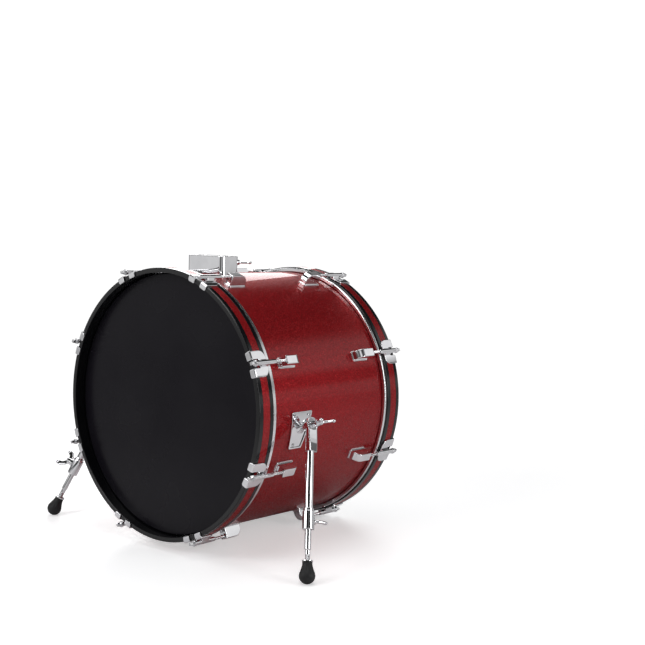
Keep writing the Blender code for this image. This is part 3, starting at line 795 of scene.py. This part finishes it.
def make_shell():
    half = SHELL_HALF_LENGTH
    skin = SHELL_RADIUS - WRAP_THICKNESS
    inner = SHELL_RADIUS - SHELL_WALL
    wood = fillet([
        (inner, half - 0.005, 0.001), (skin - 0.002, half, 0.0008), (skin, half - 0.002, 0.001),
        (skin, -half + 0.002, 0.001), (skin - 0.002, -half, 0.0008), (inner, -half + 0.005, 0.001),
    ])
    piece("shell_wood", turned_ring(wood), "wood", RINGS["rear"], "shell", slot="shell")
    wrap = fillet([
        (skin, WRAP_HALF_LENGTH), (SHELL_RADIUS, WRAP_HALF_LENGTH, 0.0002),
        (SHELL_RADIUS, -WRAP_HALF_LENGTH, 0.0002), (skin, -WRAP_HALF_LENGTH),
    ])
    piece("shell_wrap", turned_ring(wrap), "sparkle", RINGS["rear"], slot="shell")


def make_rings(end):
    """One end's head, flesh hoop, hoop and inlay, modelled with +Z outward from the drum's middle."""
    matrix = RINGS[end]
    edge = HOOP_OUTER_EDGE
    inside = edge - HOOP_WIDTH
    middle = (edge + inside) / 2
    half = INLAY_WIDTH / 2
    groove = HOOP_OUTER_RADIUS - INLAY_DEPTH
    hoop = fillet([
        (HOOP_INNER_RADIUS, edge, 0.0012), (HOOP_OUTER_RADIUS, edge, 0.0018),
        (HOOP_OUTER_RADIUS, middle + half, 0.0003), (groove, middle + half), (groove, middle - half),
        (HOOP_OUTER_RADIUS, middle - half, 0.0003), (HOOP_OUTER_RADIUS, inside, 0.0018),
        (HOOP_INNER_RADIUS, inside, 0.0006),
    ])
    inlay_low = middle - half + GAP
    inlay_high = middle + half - GAP
    inlay = fillet([
        (groove + 0.0001, inlay_high), (HOOP_OUTER_RADIUS - 0.00015, inlay_high, 0.0003),
        (HOOP_OUTER_RADIUS - 0.00015, inlay_low, 0.0003), (groove + 0.0001, inlay_low),
    ])
    top = inside - GAP
    low = top - FLESH_WIDTHS[end]
    flesh = fillet([
        (FLESH_INNER_RADIUS, top, 0.0004), (FLESH_OUTER_RADIUS, top, 0.001),
        (FLESH_OUTER_RADIUS, low, 0.0024), (FLESH_INNER_RADIUS, low, 0.0012),
    ], steps=6)
    for name, profile, finish, node in (
            ("hoop_wood", hoop, "lacquer", "hoop"), ("hoop_inlay_strip", inlay, "sparkle", "hoop_inlay"),
            ("flesh_hoop_ring", flesh, "aluminium", "flesh_hoop")):
        piece(f"{end}_{name}", turned_ring(profile), finish, matrix, f"{end}_{node}", slot=node)

    bend = 0.003
    face = SHELL_HALF_LENGTH + GAP
    top = face + FILM_THICKNESS
    outer = SHELL_RADIUS + GAP + FILM_THICKNESS
    film = [(r, top) for r in (0, 0.09, 0.18, 0.25)]
    film += reversed(arc((outer - bend, top - bend), bend, 0, 90, 6))
    film += [(outer, low + 0.0015), (outer - FILM_THICKNESS, low + 0.0015)]
    film += arc((outer - bend, top - bend), bend - FILM_THICKNESS, 0, 90, 6)
    film += [(0.25, face), (0, face)]
    piece(f"{end}_head_film", shaded(lathe(film, RING_STEPS)), "film", matrix, f"{end}_head", slot="head")


# ---- lugs, claws and tension rods

def rod_axis(shape):
    """Moves a shape turned about Z onto the rod's line: its z becomes the distance from the middle."""
    return moved(shape, shift(0, 0, ROD_CIRCLE_RADIUS) @ Z_TO_Y)


def claw_mesh():
    """A claw bent from one plate, over the hoop's edge and round the hoop, with its rod sleeve on a saddle."""
    bend_start = GAP - CLAW_BEND
    bend_length = pi / 2 * (CLAW_BEND + CLAW_WALL / 2)
    lip_end = bend_start + bend_length + CLAW_LIP_DEPTH + GAP - CLAW_BEND
    right = [
        (CLAW_SLOT_HALF_WIDTH, CLAW_SLOT_END, 0.0022), (CLAW_SLOT_HALF_WIDTH, lip_end, 0.0026),
        (CLAW_HALF_WIDTH, lip_end, 0.004), (CLAW_HALF_WIDTH, CLAW_REAR, CLAW_CORNER),
    ]
    left = [(-x, y, radius) for x, y, radius in reversed(right)]
    flat = slab(fillet(right + left, steps=6), 0.0, CLAW_WALL, 0.001)

    def bent(point):
        x, along, thick = point
        turn = min(max((along - bend_start) / bend_length, 0.0), 1.0) * pi / 2
        reach = CLAW_BEND + thick
        y = min(along, bend_start) + reach * sin(turn)
        z = GAP - CLAW_BEND + reach * cos(turn) - max(along - bend_start - bend_length, 0.0)
        radius = HOOP_OUTER_RADIUS + z
        angle = x / HOOP_OUTER_RADIUS
        return Vector((radius * sin(angle), HOOP_OUTER_EDGE + y, radius * cos(angle)))

    slices = [(1, place) for place in spread(bend_start, bend_start + bend_length, 6)]
    slices += [(0, place) for place in spread(-0.024, 0.024, 8)]
    plate = warped(flat, bent, slices)

    saddle_outline = fillet([(-0.0085, 0.0016), (0.0085, 0.0016), (0.005, 0.0095), (-0.005, 0.0095)], 0.0012)
    saddle = slab(saddle_outline, 0.0, 0.02, 0.0012)
    moved(saddle, shift(0, HOOP_OUTER_EDGE + CLAW_SLOT_END - 0.001, HOOP_OUTER_RADIUS)
          @ Y_TO_Z)
    front = HOOP_OUTER_EDGE + SLEEVE_FRONT
    rear = HOOP_OUTER_EDGE + SLEEVE_REAR
    sleeve = fillet([
        (0, front, 0), (0.0066, front, 0.0006), (0.0066, front - 0.003, 0.0005),
        (SLEEVE_RADIUS, front - 0.0044, 0.001), (SLEEVE_RADIUS, rear + 0.013, 0.002),
        (0.0047, rear, 0.0009), (0, rear, 0),
    ])
    body = union(plate, saddle, rod_axis(lathe(sleeve, 32)))
    hole = rod_axis(cylinder(ROD_HOLE_RADIUS, front + 0.01, rear - 0.01))
    return shaded(cut(body, hole))


def rod_mesh():
    """A tension rod with its washer collar, square key head and a cut thread where it shows."""
    shaft = fillet([
        (0, ROD_NECK_TOP, 0), (0.0034, ROD_NECK_TOP, 0), (0.0034, ROD_COLLAR_HEIGHT, 0.0003),
        (ROD_COLLAR_RADIUS, ROD_COLLAR_HEIGHT, 0.0004), (ROD_COLLAR_RADIUS, 0, 0.0003), (ROD_RADIUS, 0, 0),
    ], steps=3)
    rings = ceil((THREAD_TOP - THREAD_END) / (THREAD_PITCH / 4))
    shaft += [(ROD_RADIUS, z) for z in spread(THREAD_TOP, THREAD_END, rings)]
    shaft += [(ROD_RADIUS, -ROD_LENGTH + 0.001), (ROD_RADIUS - 0.001, -ROD_LENGTH), (0, -ROD_LENGTH)]
    rod = lathe(shaft, 20, wave=thread(THREAD_END, THREAD_TOP))
    half = ROD_HEAD_WIDTH / 2
    head = slab(rectangle(half, -half, half, 0.0006, 2), ROD_NECK_TOP - 0.0006, ROD_HEAD_TOP, 0.0006)
    return shaded(union(rod, head), 34)


def lug_mesh():
    """A die-cast lug: a D-shaped body on a flange, its hoop end sunk in round the rod's boss."""
    base = SHELL_RADIUS + GAP
    top = SHELL_RADIUS + LUG_HEIGHT
    far = LUG_HOOP_END - LUG_LENGTH
    side = fillet([
        (far, base, 0), (far, top, LUG_NOSE_RADIUS), (LUG_HOOP_END, top, 0.0016), (LUG_HOOP_END, base, 0),
    ], steps=12)
    body = moved(slab(side, -LUG_HALF_WIDTH, LUG_HALF_WIDTH, 0.0015), SIDEWAYS)
    recess_outline = rectangle(0.0068, base + 0.0045, top - 0.002, 0.0022)
    recess = slab(recess_outline, -LUG_HOOP_END - 0.01, -LUG_HOOP_END + 0.003)
    moved(recess, Y_TO_Z)
    flange_outline = rectangle(
        LUG_FLANGE_HALF_WIDTH, far - LUG_FLANGE_MARGIN, LUG_HOOP_END + LUG_FLANGE_MARGIN, 0.0045)
    flange = slab(flange_outline, base, SHELL_RADIUS + LUG_FLANGE_HEIGHT, 0.0008)
    boss = fillet([
        (0, LUG_HOOP_END + 0.0008, 0), (0.0056, LUG_HOOP_END + 0.0008, 0.0008),
        (0.0056, LUG_HOOP_END - 0.012, 0), (0, LUG_HOOP_END - 0.012, 0),
    ])
    body = union(cut(body, recess), flange, rod_axis(lathe(boss, 32)))
    body = cut(body, rod_axis(cylinder(0.0034, LUG_HOOP_END + 0.01, LUG_HOOP_END - 0.035)))
    gasket_outline = rectangle(LUG_FLANGE_HALF_WIDTH + 0.0006, far - 0.0021, LUG_HOOP_END + 0.0021, 0.005)
    gasket = slab(gasket_outline, SHELL_RADIUS - 0.0004, base + 0.0003, 0.0002, 2)
    gasket["own_slot"] = 1
    return merged(shaded(body), shaded(gasket))


def screw_mesh(radius, length):
    """A pan-head cross screw with its seat at Z = 0 and its shank running down."""
    dome = ((0, 0.62), (0.45, 0.58), (0.8, 0.4), (1, 0.12), (1, 0), (0.5, 0))
    head = [(r * radius, z * radius) for r, z in dome]
    body = lathe(head + [(radius * 0.5, -length), (0, -length)], 24)
    for angle in (0, pi / 2):
        outline = rectangle(radius * 0.55, -radius * 0.11, radius * 0.11, radius * 0.04, 1)
        slot = slab(outline, radius * 0.3, radius)
        body = cut(body, moved(slot, Matrix.Rotation(angle, 4, "Z")))
    return shaded(body, 30)


def make_tensioning():
    claw = claw_mesh()
    rod = rod_mesh()
    lug = lug_mesh()
    for (end, number), joint in ROD_JOINTS.items():
        place = tension_frame(end, number)
        piece(f"{end}_claw_hook_{number}", claw, "chrome", place, f"{end}_claw_{number}")
        piece(f"{end}_key_rod_{number}", rod, "steel", place @ ROD_PLACE, f"{end}_tension_rod_{number}",
              body=body_of(joint))
        piece(f"{end}_lug_{number}", lug, "chrome rubber", place)


def make_lug_screws(end):
    """Two screws with washers hold each lug from inside the shell."""
    screw = screw_mesh(0.0045, 0.009)
    section = [(0.0024, 0), (0.0075, 0), (0.0075, -0.0012), (0.0024, -0.0012)]
    washer = lathe(fillet(section, 0.0003, 2), 24, True)
    seat = SHELL_RADIUS - SHELL_WALL - 0.0013
    parts = []
    for number in range(1, 9):
        for y in LUG_SCREWS:
            inward = shift(0, y, seat) @ UPSIDE_DOWN
            place = DRUM.inverted() @ tension_frame(end, number) @ inward
            parts += [copied(screw, place), copied(washer, place @ shift(0, 0, -0.00005))]
    piece(f"{end}_lug_screws", shaded(merged(*parts)), "steel", DRUM)


# ---- wing bolts and tom bracket

def wing_bolt_mesh(shank, neck=0.0):
    """A cast wing bolt along Z: seat at Z = 0, an optional neck, then the hub with wings in the XZ plane."""
    hub = fillet([
        (0, HUB_HEIGHT, 0), (HUB_TOP_RADIUS, HUB_HEIGHT, 0.0014), (HUB_RADIUS, 0.004, 0.001),
        (HUB_RADIUS, 0, 0.0004), (0, 0, 0),
    ])
    end = (WING_REACH - WING_END_RADIUS, WING_HEIGHT)
    right = [(0.003, 0.003), (0.013, 0.0075), (WING_REACH - 0.0008, 0.02)]
    right += arc(end, WING_END_RADIUS, -20, 150, 8)
    right += [(0.0105, 0.0195), (0.004, 0.015)]
    left = [(-x, z) for x, z in reversed(right)]
    wings = slab(fillet(right + left, steps=1), -WING_THICKNESS / 2, WING_THICKNESS / 2, 0.0018)
    moved(wings, Y_TO_Z)
    parts = [lathe(hub, 32), wings]
    for side in (-1, 1):
        bead = [(0, 0.0042)] + arc((0, 0), 0.0036, 90, -90, 10)[1:-1] + [(0, -0.0042)]
        bead = lathe([(r, z * 1.25) for r, z in bead], 20)
        parts.append(moved(bead, shift(side * end[0], 0, end[1]) @ Z_TO_X))
    casting = cast(union(*parts), 0.00045, 4, 0.3)
    moved(casting, shift(0, 0, neck))
    stem = [(0, neck + 0.004)]
    if neck:
        stem += [(0.0054, neck + 0.004), (0.0054, neck - 0.0006)]
        turns = 5
        for turn in range(turns):
            z = (neck - 0.0006) * (1 - (turn + 0.5) / turns)
            stem += [(0.0042, z + 0.0008), (0.0056, z), (0.0042, z - 0.0008)]
        stem += [(0.006, 0.0008), (0.006, 0)]
    else:
        stem += [(BOLT_RADIUS, 0.004)]
    stem += [(BOLT_RADIUS, -0.0002), (BOLT_RADIUS, -shank), (0, -shank)]
    return shaded(union(casting, lathe(stem, 28)), 45)


def make_tom_bracket():
    outline = rectangle(BRACKET_HALF_WIDTH, -BRACKET_HALF_DEPTH, BRACKET_HALF_DEPTH, BRACKET_CORNER, 12)
    block = moved(slab(outline, BRACKET_UNDERCUT, BRACKET_TOP, 0.002, 4), shift(0, BRACKET_Y, 0))
    block = cut(block, shell_core(BRACKET_BASE_RADIUS))
    for side in (-1, 1):
        socket = lathe([
            (0, BRACKET_TOP + 0.01), (SOCKET_RADIUS + 0.0014, BRACKET_TOP + 0.01),
            (SOCKET_RADIUS + 0.0014, BRACKET_TOP + 0.0001), (SOCKET_RADIUS, BRACKET_TOP - 0.0012),
            (SOCKET_RADIUS, SOCKET_FLOOR), (0, SOCKET_FLOOR),
        ], 64)
        moved(socket, shift(side * SOCKET_OFFSET, BRACKET_Y, 0))
        block = cut(block, socket)
    piece("tom_bracket_casting", shaded(block, 50), "chrome", DRUM, "tom_bracket")

    margin = 0.0006
    half_depth = BRACKET_HALF_DEPTH + margin
    outline = rectangle(BRACKET_HALF_WIDTH + margin, -half_depth, half_depth, BRACKET_CORNER + margin, 12)
    pad = moved(slab(outline, BRACKET_UNDERCUT, 0.29), shift(0, BRACKET_Y, 0))
    ring = lathe([(SHELL_RADIUS + 0.0001, 0.15), (BRACKET_BASE_RADIUS - 0.0001, 0.15),
                  (BRACKET_BASE_RADIUS - 0.0001, -0.15), (SHELL_RADIUS + 0.0001, -0.15)], RING_STEPS, True)
    gasket = boolean(pad, [moved(ring, Z_TO_Y)], "INTERSECT")
    piece("tom_bracket_pad", shaded(gasket), "rubber", DRUM, "tom_bracket_gasket", slot="gasket")

    bolt = wing_bolt_mesh(BRACKET_HALF_DEPTH - SOCKET_RADIUS - 0.001)
    for label in ("left", "right"):
        joint = f"{label}_tom_bolt_turn"
        piece(f"{label}_tom_wing", bolt, "chrome", tom_bolt_frame(joint), f"{label}_tom_wing_bolt",
              body=body_of(joint))


def shell_core(radius):
    return moved(cylinder(radius, 0.25, -0.25, RING_STEPS), Z_TO_Y)


# ---- spurs

def teeth(angle):
    phase = (angle * TOOTH_COUNT / tau) % 1.0
    return TOOTH_DEPTH * abs(2 * phase - 1)


def toothed_disc(radius, face, back, inner=0.007):
    """A disc about Z with radial teeth on its face, as the two halves of the spur's pivot have."""
    sign = 1 if face > back else -1
    steps = 112
    floor = face - sign * TOOTH_DEPTH
    shape = bmesh.new()

    def ring(reach, height, share=0.0):
        angles = [tau * step / steps for step in range(steps)]
        return [shape.verts.new((reach * cos(a), reach * sin(a), height + sign * share * teeth(a)))
                for a in angles]

    rows = [[shape.verts.new((0, 0, floor))], ring(inner, floor), ring(inner, floor, 1)]
    rows += [ring(radius - 0.0004, floor, 1), ring(radius, floor, 0.4)]
    rows += [ring(radius, back + sign * 0.0006), ring(radius - 0.0006, back)]
    rows.append([shape.verts.new((0, 0, back))])
    return joined(shape, rows, steps)


def spur_bracket_mesh():
    """The right spur's plate, bent to the shell, with its arm and half of the pivot, in drum axes."""
    base = SHELL_RADIUS + GAP
    low = base * PLATE_BOTTOM_ANGLE
    high = base * PLATE_TOP_ANGLE
    corners = [(PLATE_FRONT_Y, low), (PLATE_LOW_REAR_Y, low), (PLATE_REAR_Y, high), (PLATE_FRONT_Y, high)]
    flat = slab(fillet(corners, 0.003), 0.0, PLATE_THICKNESS, 0.0009)
    rim = 0.0034
    pocket_corners = [
        (PLATE_FRONT_Y + rim, low + rim), (PLATE_LOW_REAR_Y - rim * 0.9, low + rim),
        (PLATE_REAR_Y - rim * 1.3, high - rim), (PLATE_FRONT_Y + rim, high - rim),
    ]
    pocket = slab(fillet(pocket_corners, 0.0022), PLATE_THICKNESS - 0.0017, 0.02)
    flat = cut(flat, pocket)

    def wrapped(point):
        along, height, thick = point
        angle = height / base
        return Vector(((base + thick) * cos(angle), along, (base + thick) * sin(angle)))

    plate = warped(flat, wrapped, [(1, place) for place in spread(low, high, 18)[1:-1]])
    to_drum = DRUM.inverted() @ pivot_frame("right") @ Z_TO_X
    arm = fillet([
        (0, -0.0088, 0), (0.0088, -0.0088, 0.001), (0.0074, -0.013, 0.003), (0.0082, -0.0235, 0.004),
        (0.0125, -0.031, 0.002), (0.0125, -0.036, 0), (0, -0.036, 0),
    ])
    arm = moved(lathe(arm, 40), to_drum)
    disc = moved(toothed_disc(FIXED_DISC_RADIUS, FIXED_DISC_FACE, -0.0112), to_drum)
    body = union(plate, arm, disc)
    return shaded(cut(body, shell_core(base - 0.0001)), 40)


def plate_screw_places():
    """Where the plate's three screws sit, each with Z out of the plate."""
    base = SHELL_RADIUS + GAP
    low = base * PLATE_BOTTOM_ANGLE + 0.0085
    high = base * PLATE_TOP_ANGLE - 0.0085
    for along, height in (
            (PLATE_FRONT_Y + 0.011, high), (PLATE_REAR_Y - 0.012, high), (PLATE_FRONT_Y + 0.012, low)):
        angle = height / base
        radial = Vector((cos(angle), 0, sin(angle)))
        rise = Vector((-sin(angle), 0, cos(angle)))
        yield frame_matrix(Vector((0, 1, 0)), rise, radial, Vector((0, along, 0)) + radial * (base + 0.0022))


def leg_casting_mesh():
    """The pivot casting: a round clamp disc that runs into a tapered socket, flat on its outer side."""
    disc = fillet([
        (0, LEG_DISC_HALF_WIDTH, 0), (LEG_DISC_RADIUS, LEG_DISC_HALF_WIDTH, 0.0012),
        (LEG_DISC_RADIUS, -LEG_DISC_HALF_WIDTH + 0.0008, 0.0006), (0, -LEG_DISC_HALF_WIDTH + 0.0008, 0),
    ])
    disc = moved(lathe(disc, 56), Z_TO_X)
    top, bottom = -0.004, SOCKET_END
    sections = []
    for share in spread(0.0, 1.0, 6):
        z = top + (bottom - top) * share
        front = 0.0128 + (0.0086 - 0.0128) * share
        rear = 0.0134 + (0.0124 - 0.0134) * share
        outer = 0.007 + (0.0091 - 0.007) * min(share * 1.6, 1.0)
        inner = 0.0054 + (0.0088 - 0.0054) * share
        corners = [(-inner, -front, 0.0078), (outer, -front, 0.0018),
                   (outer, rear, 0.0018), (-inner, rear, 0.006)]
        sections.append([(x, y, z) for x, y in fillet(corners, steps=6)])
    socket = lofted(sections)
    body = cast(union(disc, socket), 0.0005, 5, 0.3)
    face_ring = lathe([(0.007, 0.01), (0.0126, 0.01), (0.0122, LEG_DISC_HALF_WIDTH - 0.0012),
                       (0.007, LEG_DISC_HALF_WIDTH - 0.0012)], 56, True)
    hole = cylinder(0.0042, 0.02, -0.02)
    body = cut(body, moved(face_ring, Z_TO_X), moved(hole, Z_TO_X))
    teeth_half = moved(toothed_disc(0.0145, -LEG_DISC_HALF_WIDTH, -LEG_DISC_HALF_WIDTH + 0.003), Z_TO_X)
    return shaded(union(body, teeth_half), 42)


def tube_mesh():
    profile = fillet([
        (TUBE_BORE, SOCKET_END + 0.006, 0), (TUBE_RADIUS, SOCKET_END + 0.006, 0),
        (TUBE_RADIUS, TUBE_END, 0.0004), (TUBE_BORE, TUBE_END, 0.0003),
    ], steps=3)
    return shaded(lathe(profile, 56, closed=True))


def collar_mesh():
    """The clamp collar: a split sleeve with a boss for its wing bolt and a lip that guides the inner rod."""
    profile = fillet([
        (TUBE_RADIUS + 0.0001, COLLAR_TOP, 0.0003), (COLLAR_RADIUS - 0.0016, COLLAR_TOP, 0.0008),
        (COLLAR_RADIUS - 0.0016, COLLAR_TOP - 0.005, 0.0005), (COLLAR_RADIUS, COLLAR_TOP - 0.0062, 0.0005),
        (COLLAR_RADIUS, COLLAR_END, 0.0014), (INNER_ROD_RADIUS + 0.0004, COLLAR_END, 0.0004),
        (INNER_ROD_RADIUS + 0.0004, -0.208, 0), (TUBE_RADIUS + 0.0001, -0.208, 0),
    ], steps=3)
    body = lathe(profile, 56, closed=True)
    boss = fillet([
        (0, COLLAR_BOSS_REACH, 0), (COLLAR_BOSS_RADIUS, COLLAR_BOSS_REACH, 0.001),
        (COLLAR_BOSS_RADIUS + 0.0008, 0.0096, 0), (0, 0.0096, 0),
    ])
    to_boss = shift(0, 0, COLLAR_BOLT_Z) @ Z_TO_X
    hole = cylinder(0.0039, 0.04, 0.0085)
    slit = slab(rectangle(0.0009, COLLAR_END - 0.01, COLLAR_TOP - 0.01, 0.0004, 2), 0.006, 0.03)
    moved(slit, Y_TO_Z)
    body = union(body, moved(lathe(boss, 40), to_boss))
    return shaded(cut(body, moved(hole, to_boss), slit), 40)


def inner_rod_mesh():
    """The telescoping rod, its thinner threaded tip, the flange nut and the stud in the foot."""
    nut_top = FOOT_TOP + GAP + NUT_HEIGHT
    tip_top = nut_top + TIP_LENGTH
    thread_top = nut_top + 0.011
    profile = fillet([
        (0, INNER_ROD_TOP, 0), (INNER_ROD_RADIUS, INNER_ROD_TOP, 0.0006), (INNER_ROD_RADIUS, tip_top, 0.001),
        (TIP_RADIUS, tip_top - 0.0022, 0.0008), (TIP_RADIUS, thread_top, 0),
    ])[:-1]
    rings = ceil((thread_top - nut_top) / (THREAD_PITCH / 4))
    profile += [(TIP_RADIUS, z) for z in spread(thread_top, nut_top + 0.0002, rings)]
    profile += fillet([
        (0.006, nut_top + 0.0018, 0), (0.0072, nut_top + 0.0014, 0.0003), (0.0078, nut_top, 0),
        (NUT_RADIUS, nut_top, 0.0007), (NUT_RADIUS, nut_top - NUT_HEIGHT, 0.0007),
        (STUD_RADIUS, nut_top - NUT_HEIGHT, 0),
    ], steps=3)
    profile += [(STUD_RADIUS, nut_top - NUT_HEIGHT - STUD_LENGTH), (0, nut_top - NUT_HEIGHT - STUD_LENGTH)]
    return shaded(lathe(profile, 40, wave=thread(nut_top + 0.0018, thread_top)), 34)


def foot_mesh():
    """The bell-shaped rubber foot: a collar, shallow flutes down its sides and a ball to stand on."""
    hole = STUD_RADIUS + 0.0002
    floor = FOOT_TOP - STUD_LENGTH - 0.001
    ball = arc((0, FOOT_BALL_Z), FOOT_BALL_RADIUS, 25, -88, 22)
    waist = [(FOOT_TOP_RADIUS + (ball[0][0] - FOOT_TOP_RADIUS) * s ** 1.3,
              FOOT_TOP - 0.004 + (ball[0][1] - FOOT_TOP + 0.004) * s) for s in spread(0.0, 1.0, 10)]
    profile = [(0, floor), (hole, floor), (hole, FOOT_TOP)]
    profile += [(FOOT_TOP_RADIUS - 0.0006, FOOT_TOP), (FOOT_TOP_RADIUS + 0.0002, FOOT_TOP - 0.0006)]
    profile += [(FOOT_TOP_RADIUS + 0.0002, FOOT_TOP - 0.0028), (FOOT_TOP_RADIUS - 0.0005, FOOT_TOP - 0.0034)]
    profile += waist[:-1] + ball + [(0, FOOT_BALL_Z - FOOT_BALL_RADIUS)]
    flute_top, flute_low = FOOT_TOP - 0.005, FOOT_BALL_Z + 0.0005

    def flutes(angle, z):
        if not flute_low < z < flute_top:
            return 0.0
        fade = sin(pi * (z - flute_low) / (flute_top - flute_low))
        return -0.0007 * fade * max(cos(14 * angle), 0.0) ** 2

    return shaded(lathe(profile, 112, wave=flutes), 40)


def make_spur(label, meshes):
    """Places the right spur's meshes, or mirrors them for the left spur."""
    side = 1 if label == "right" else -1
    flip = Matrix.Diagonal((1, side, 1, 1))
    mirror = Matrix.Diagonal((side, 1, 1, 1))
    pivot = pivot_frame(label)

    piece(f"{label}_spur_plate", copied(meshes["bracket"], mirror), "chrome", DRUM,
          f"{label}_spur_bracket")
    screws = [copied(meshes["screw"], mirror @ place) for place in plate_screw_places()]
    piece(f"{label}_spur_plate_screws", merged(*screws), "steel", DRUM)
    collar = spur_frame(label, "collar_bolt_turn", "spur_fold")
    for name, shape, finish, matrix, joint, *nodes in (
            ("casting", "casting", "chrome", pivot, "spur_fold", "leg"),
            ("tube", "tube", "chrome", pivot, "spur_fold"),
            ("clamp", "collar", "chrome", collar, "spur_fold", "collar"),
            ("inner_rod", "rod", "steel", pivot, "spur_extend", "rod"),
            ("rubber_foot", "foot", "rubber", pivot, "foot_turn", "foot")):
        piece(f"{label}_spur_{name}", copied(meshes[shape], flip), finish, matrix,
              *(f"{label}_spur_{node}" for node in nodes), body=body_of(f"{label}_{joint}"))
    for kind, turns in (("pivot_bolt", PIVOT_BOLT_TURNS), ("collar_bolt", COLLAR_BOLT_TURNS)):
        joint = f"{kind}_turn"
        matrix = spur_frame(label, joint, joint) @ Z_TO_X @ Matrix.Rotation(radians(turns[label]), 4, "Z")
        piece(f"{label}_spur_{kind}_wing", meshes[kind], "chrome", matrix, f"{label}_spur_{kind}",
              body=body_of(f"{label}_{joint}"))


def make_spurs():
    meshes = {
        "bracket": spur_bracket_mesh(),
        "screw": screw_mesh(0.0036, 0.006),
        "casting": leg_casting_mesh(),
        "tube": tube_mesh(),
        "collar": collar_mesh(),
        "rod": inner_rod_mesh(),
        "foot": foot_mesh(),
        "pivot_bolt": wing_bolt_mesh(PIVOT_BOLT_SHANK, PIVOT_BOLT_NECK),
        "collar_bolt": wing_bolt_mesh(COLLAR_BOSS_REACH - TUBE_RADIUS - 0.001),
    }
    for label in ("left", "right"):
        make_spur(label, meshes)


# ---- the scene

make_camera()
make_stage()
make_shell()
for end in ("front", "rear"):
    make_rings(end)
    make_lug_screws(end)
make_tensioning()
make_tom_bracket()
make_spurs()
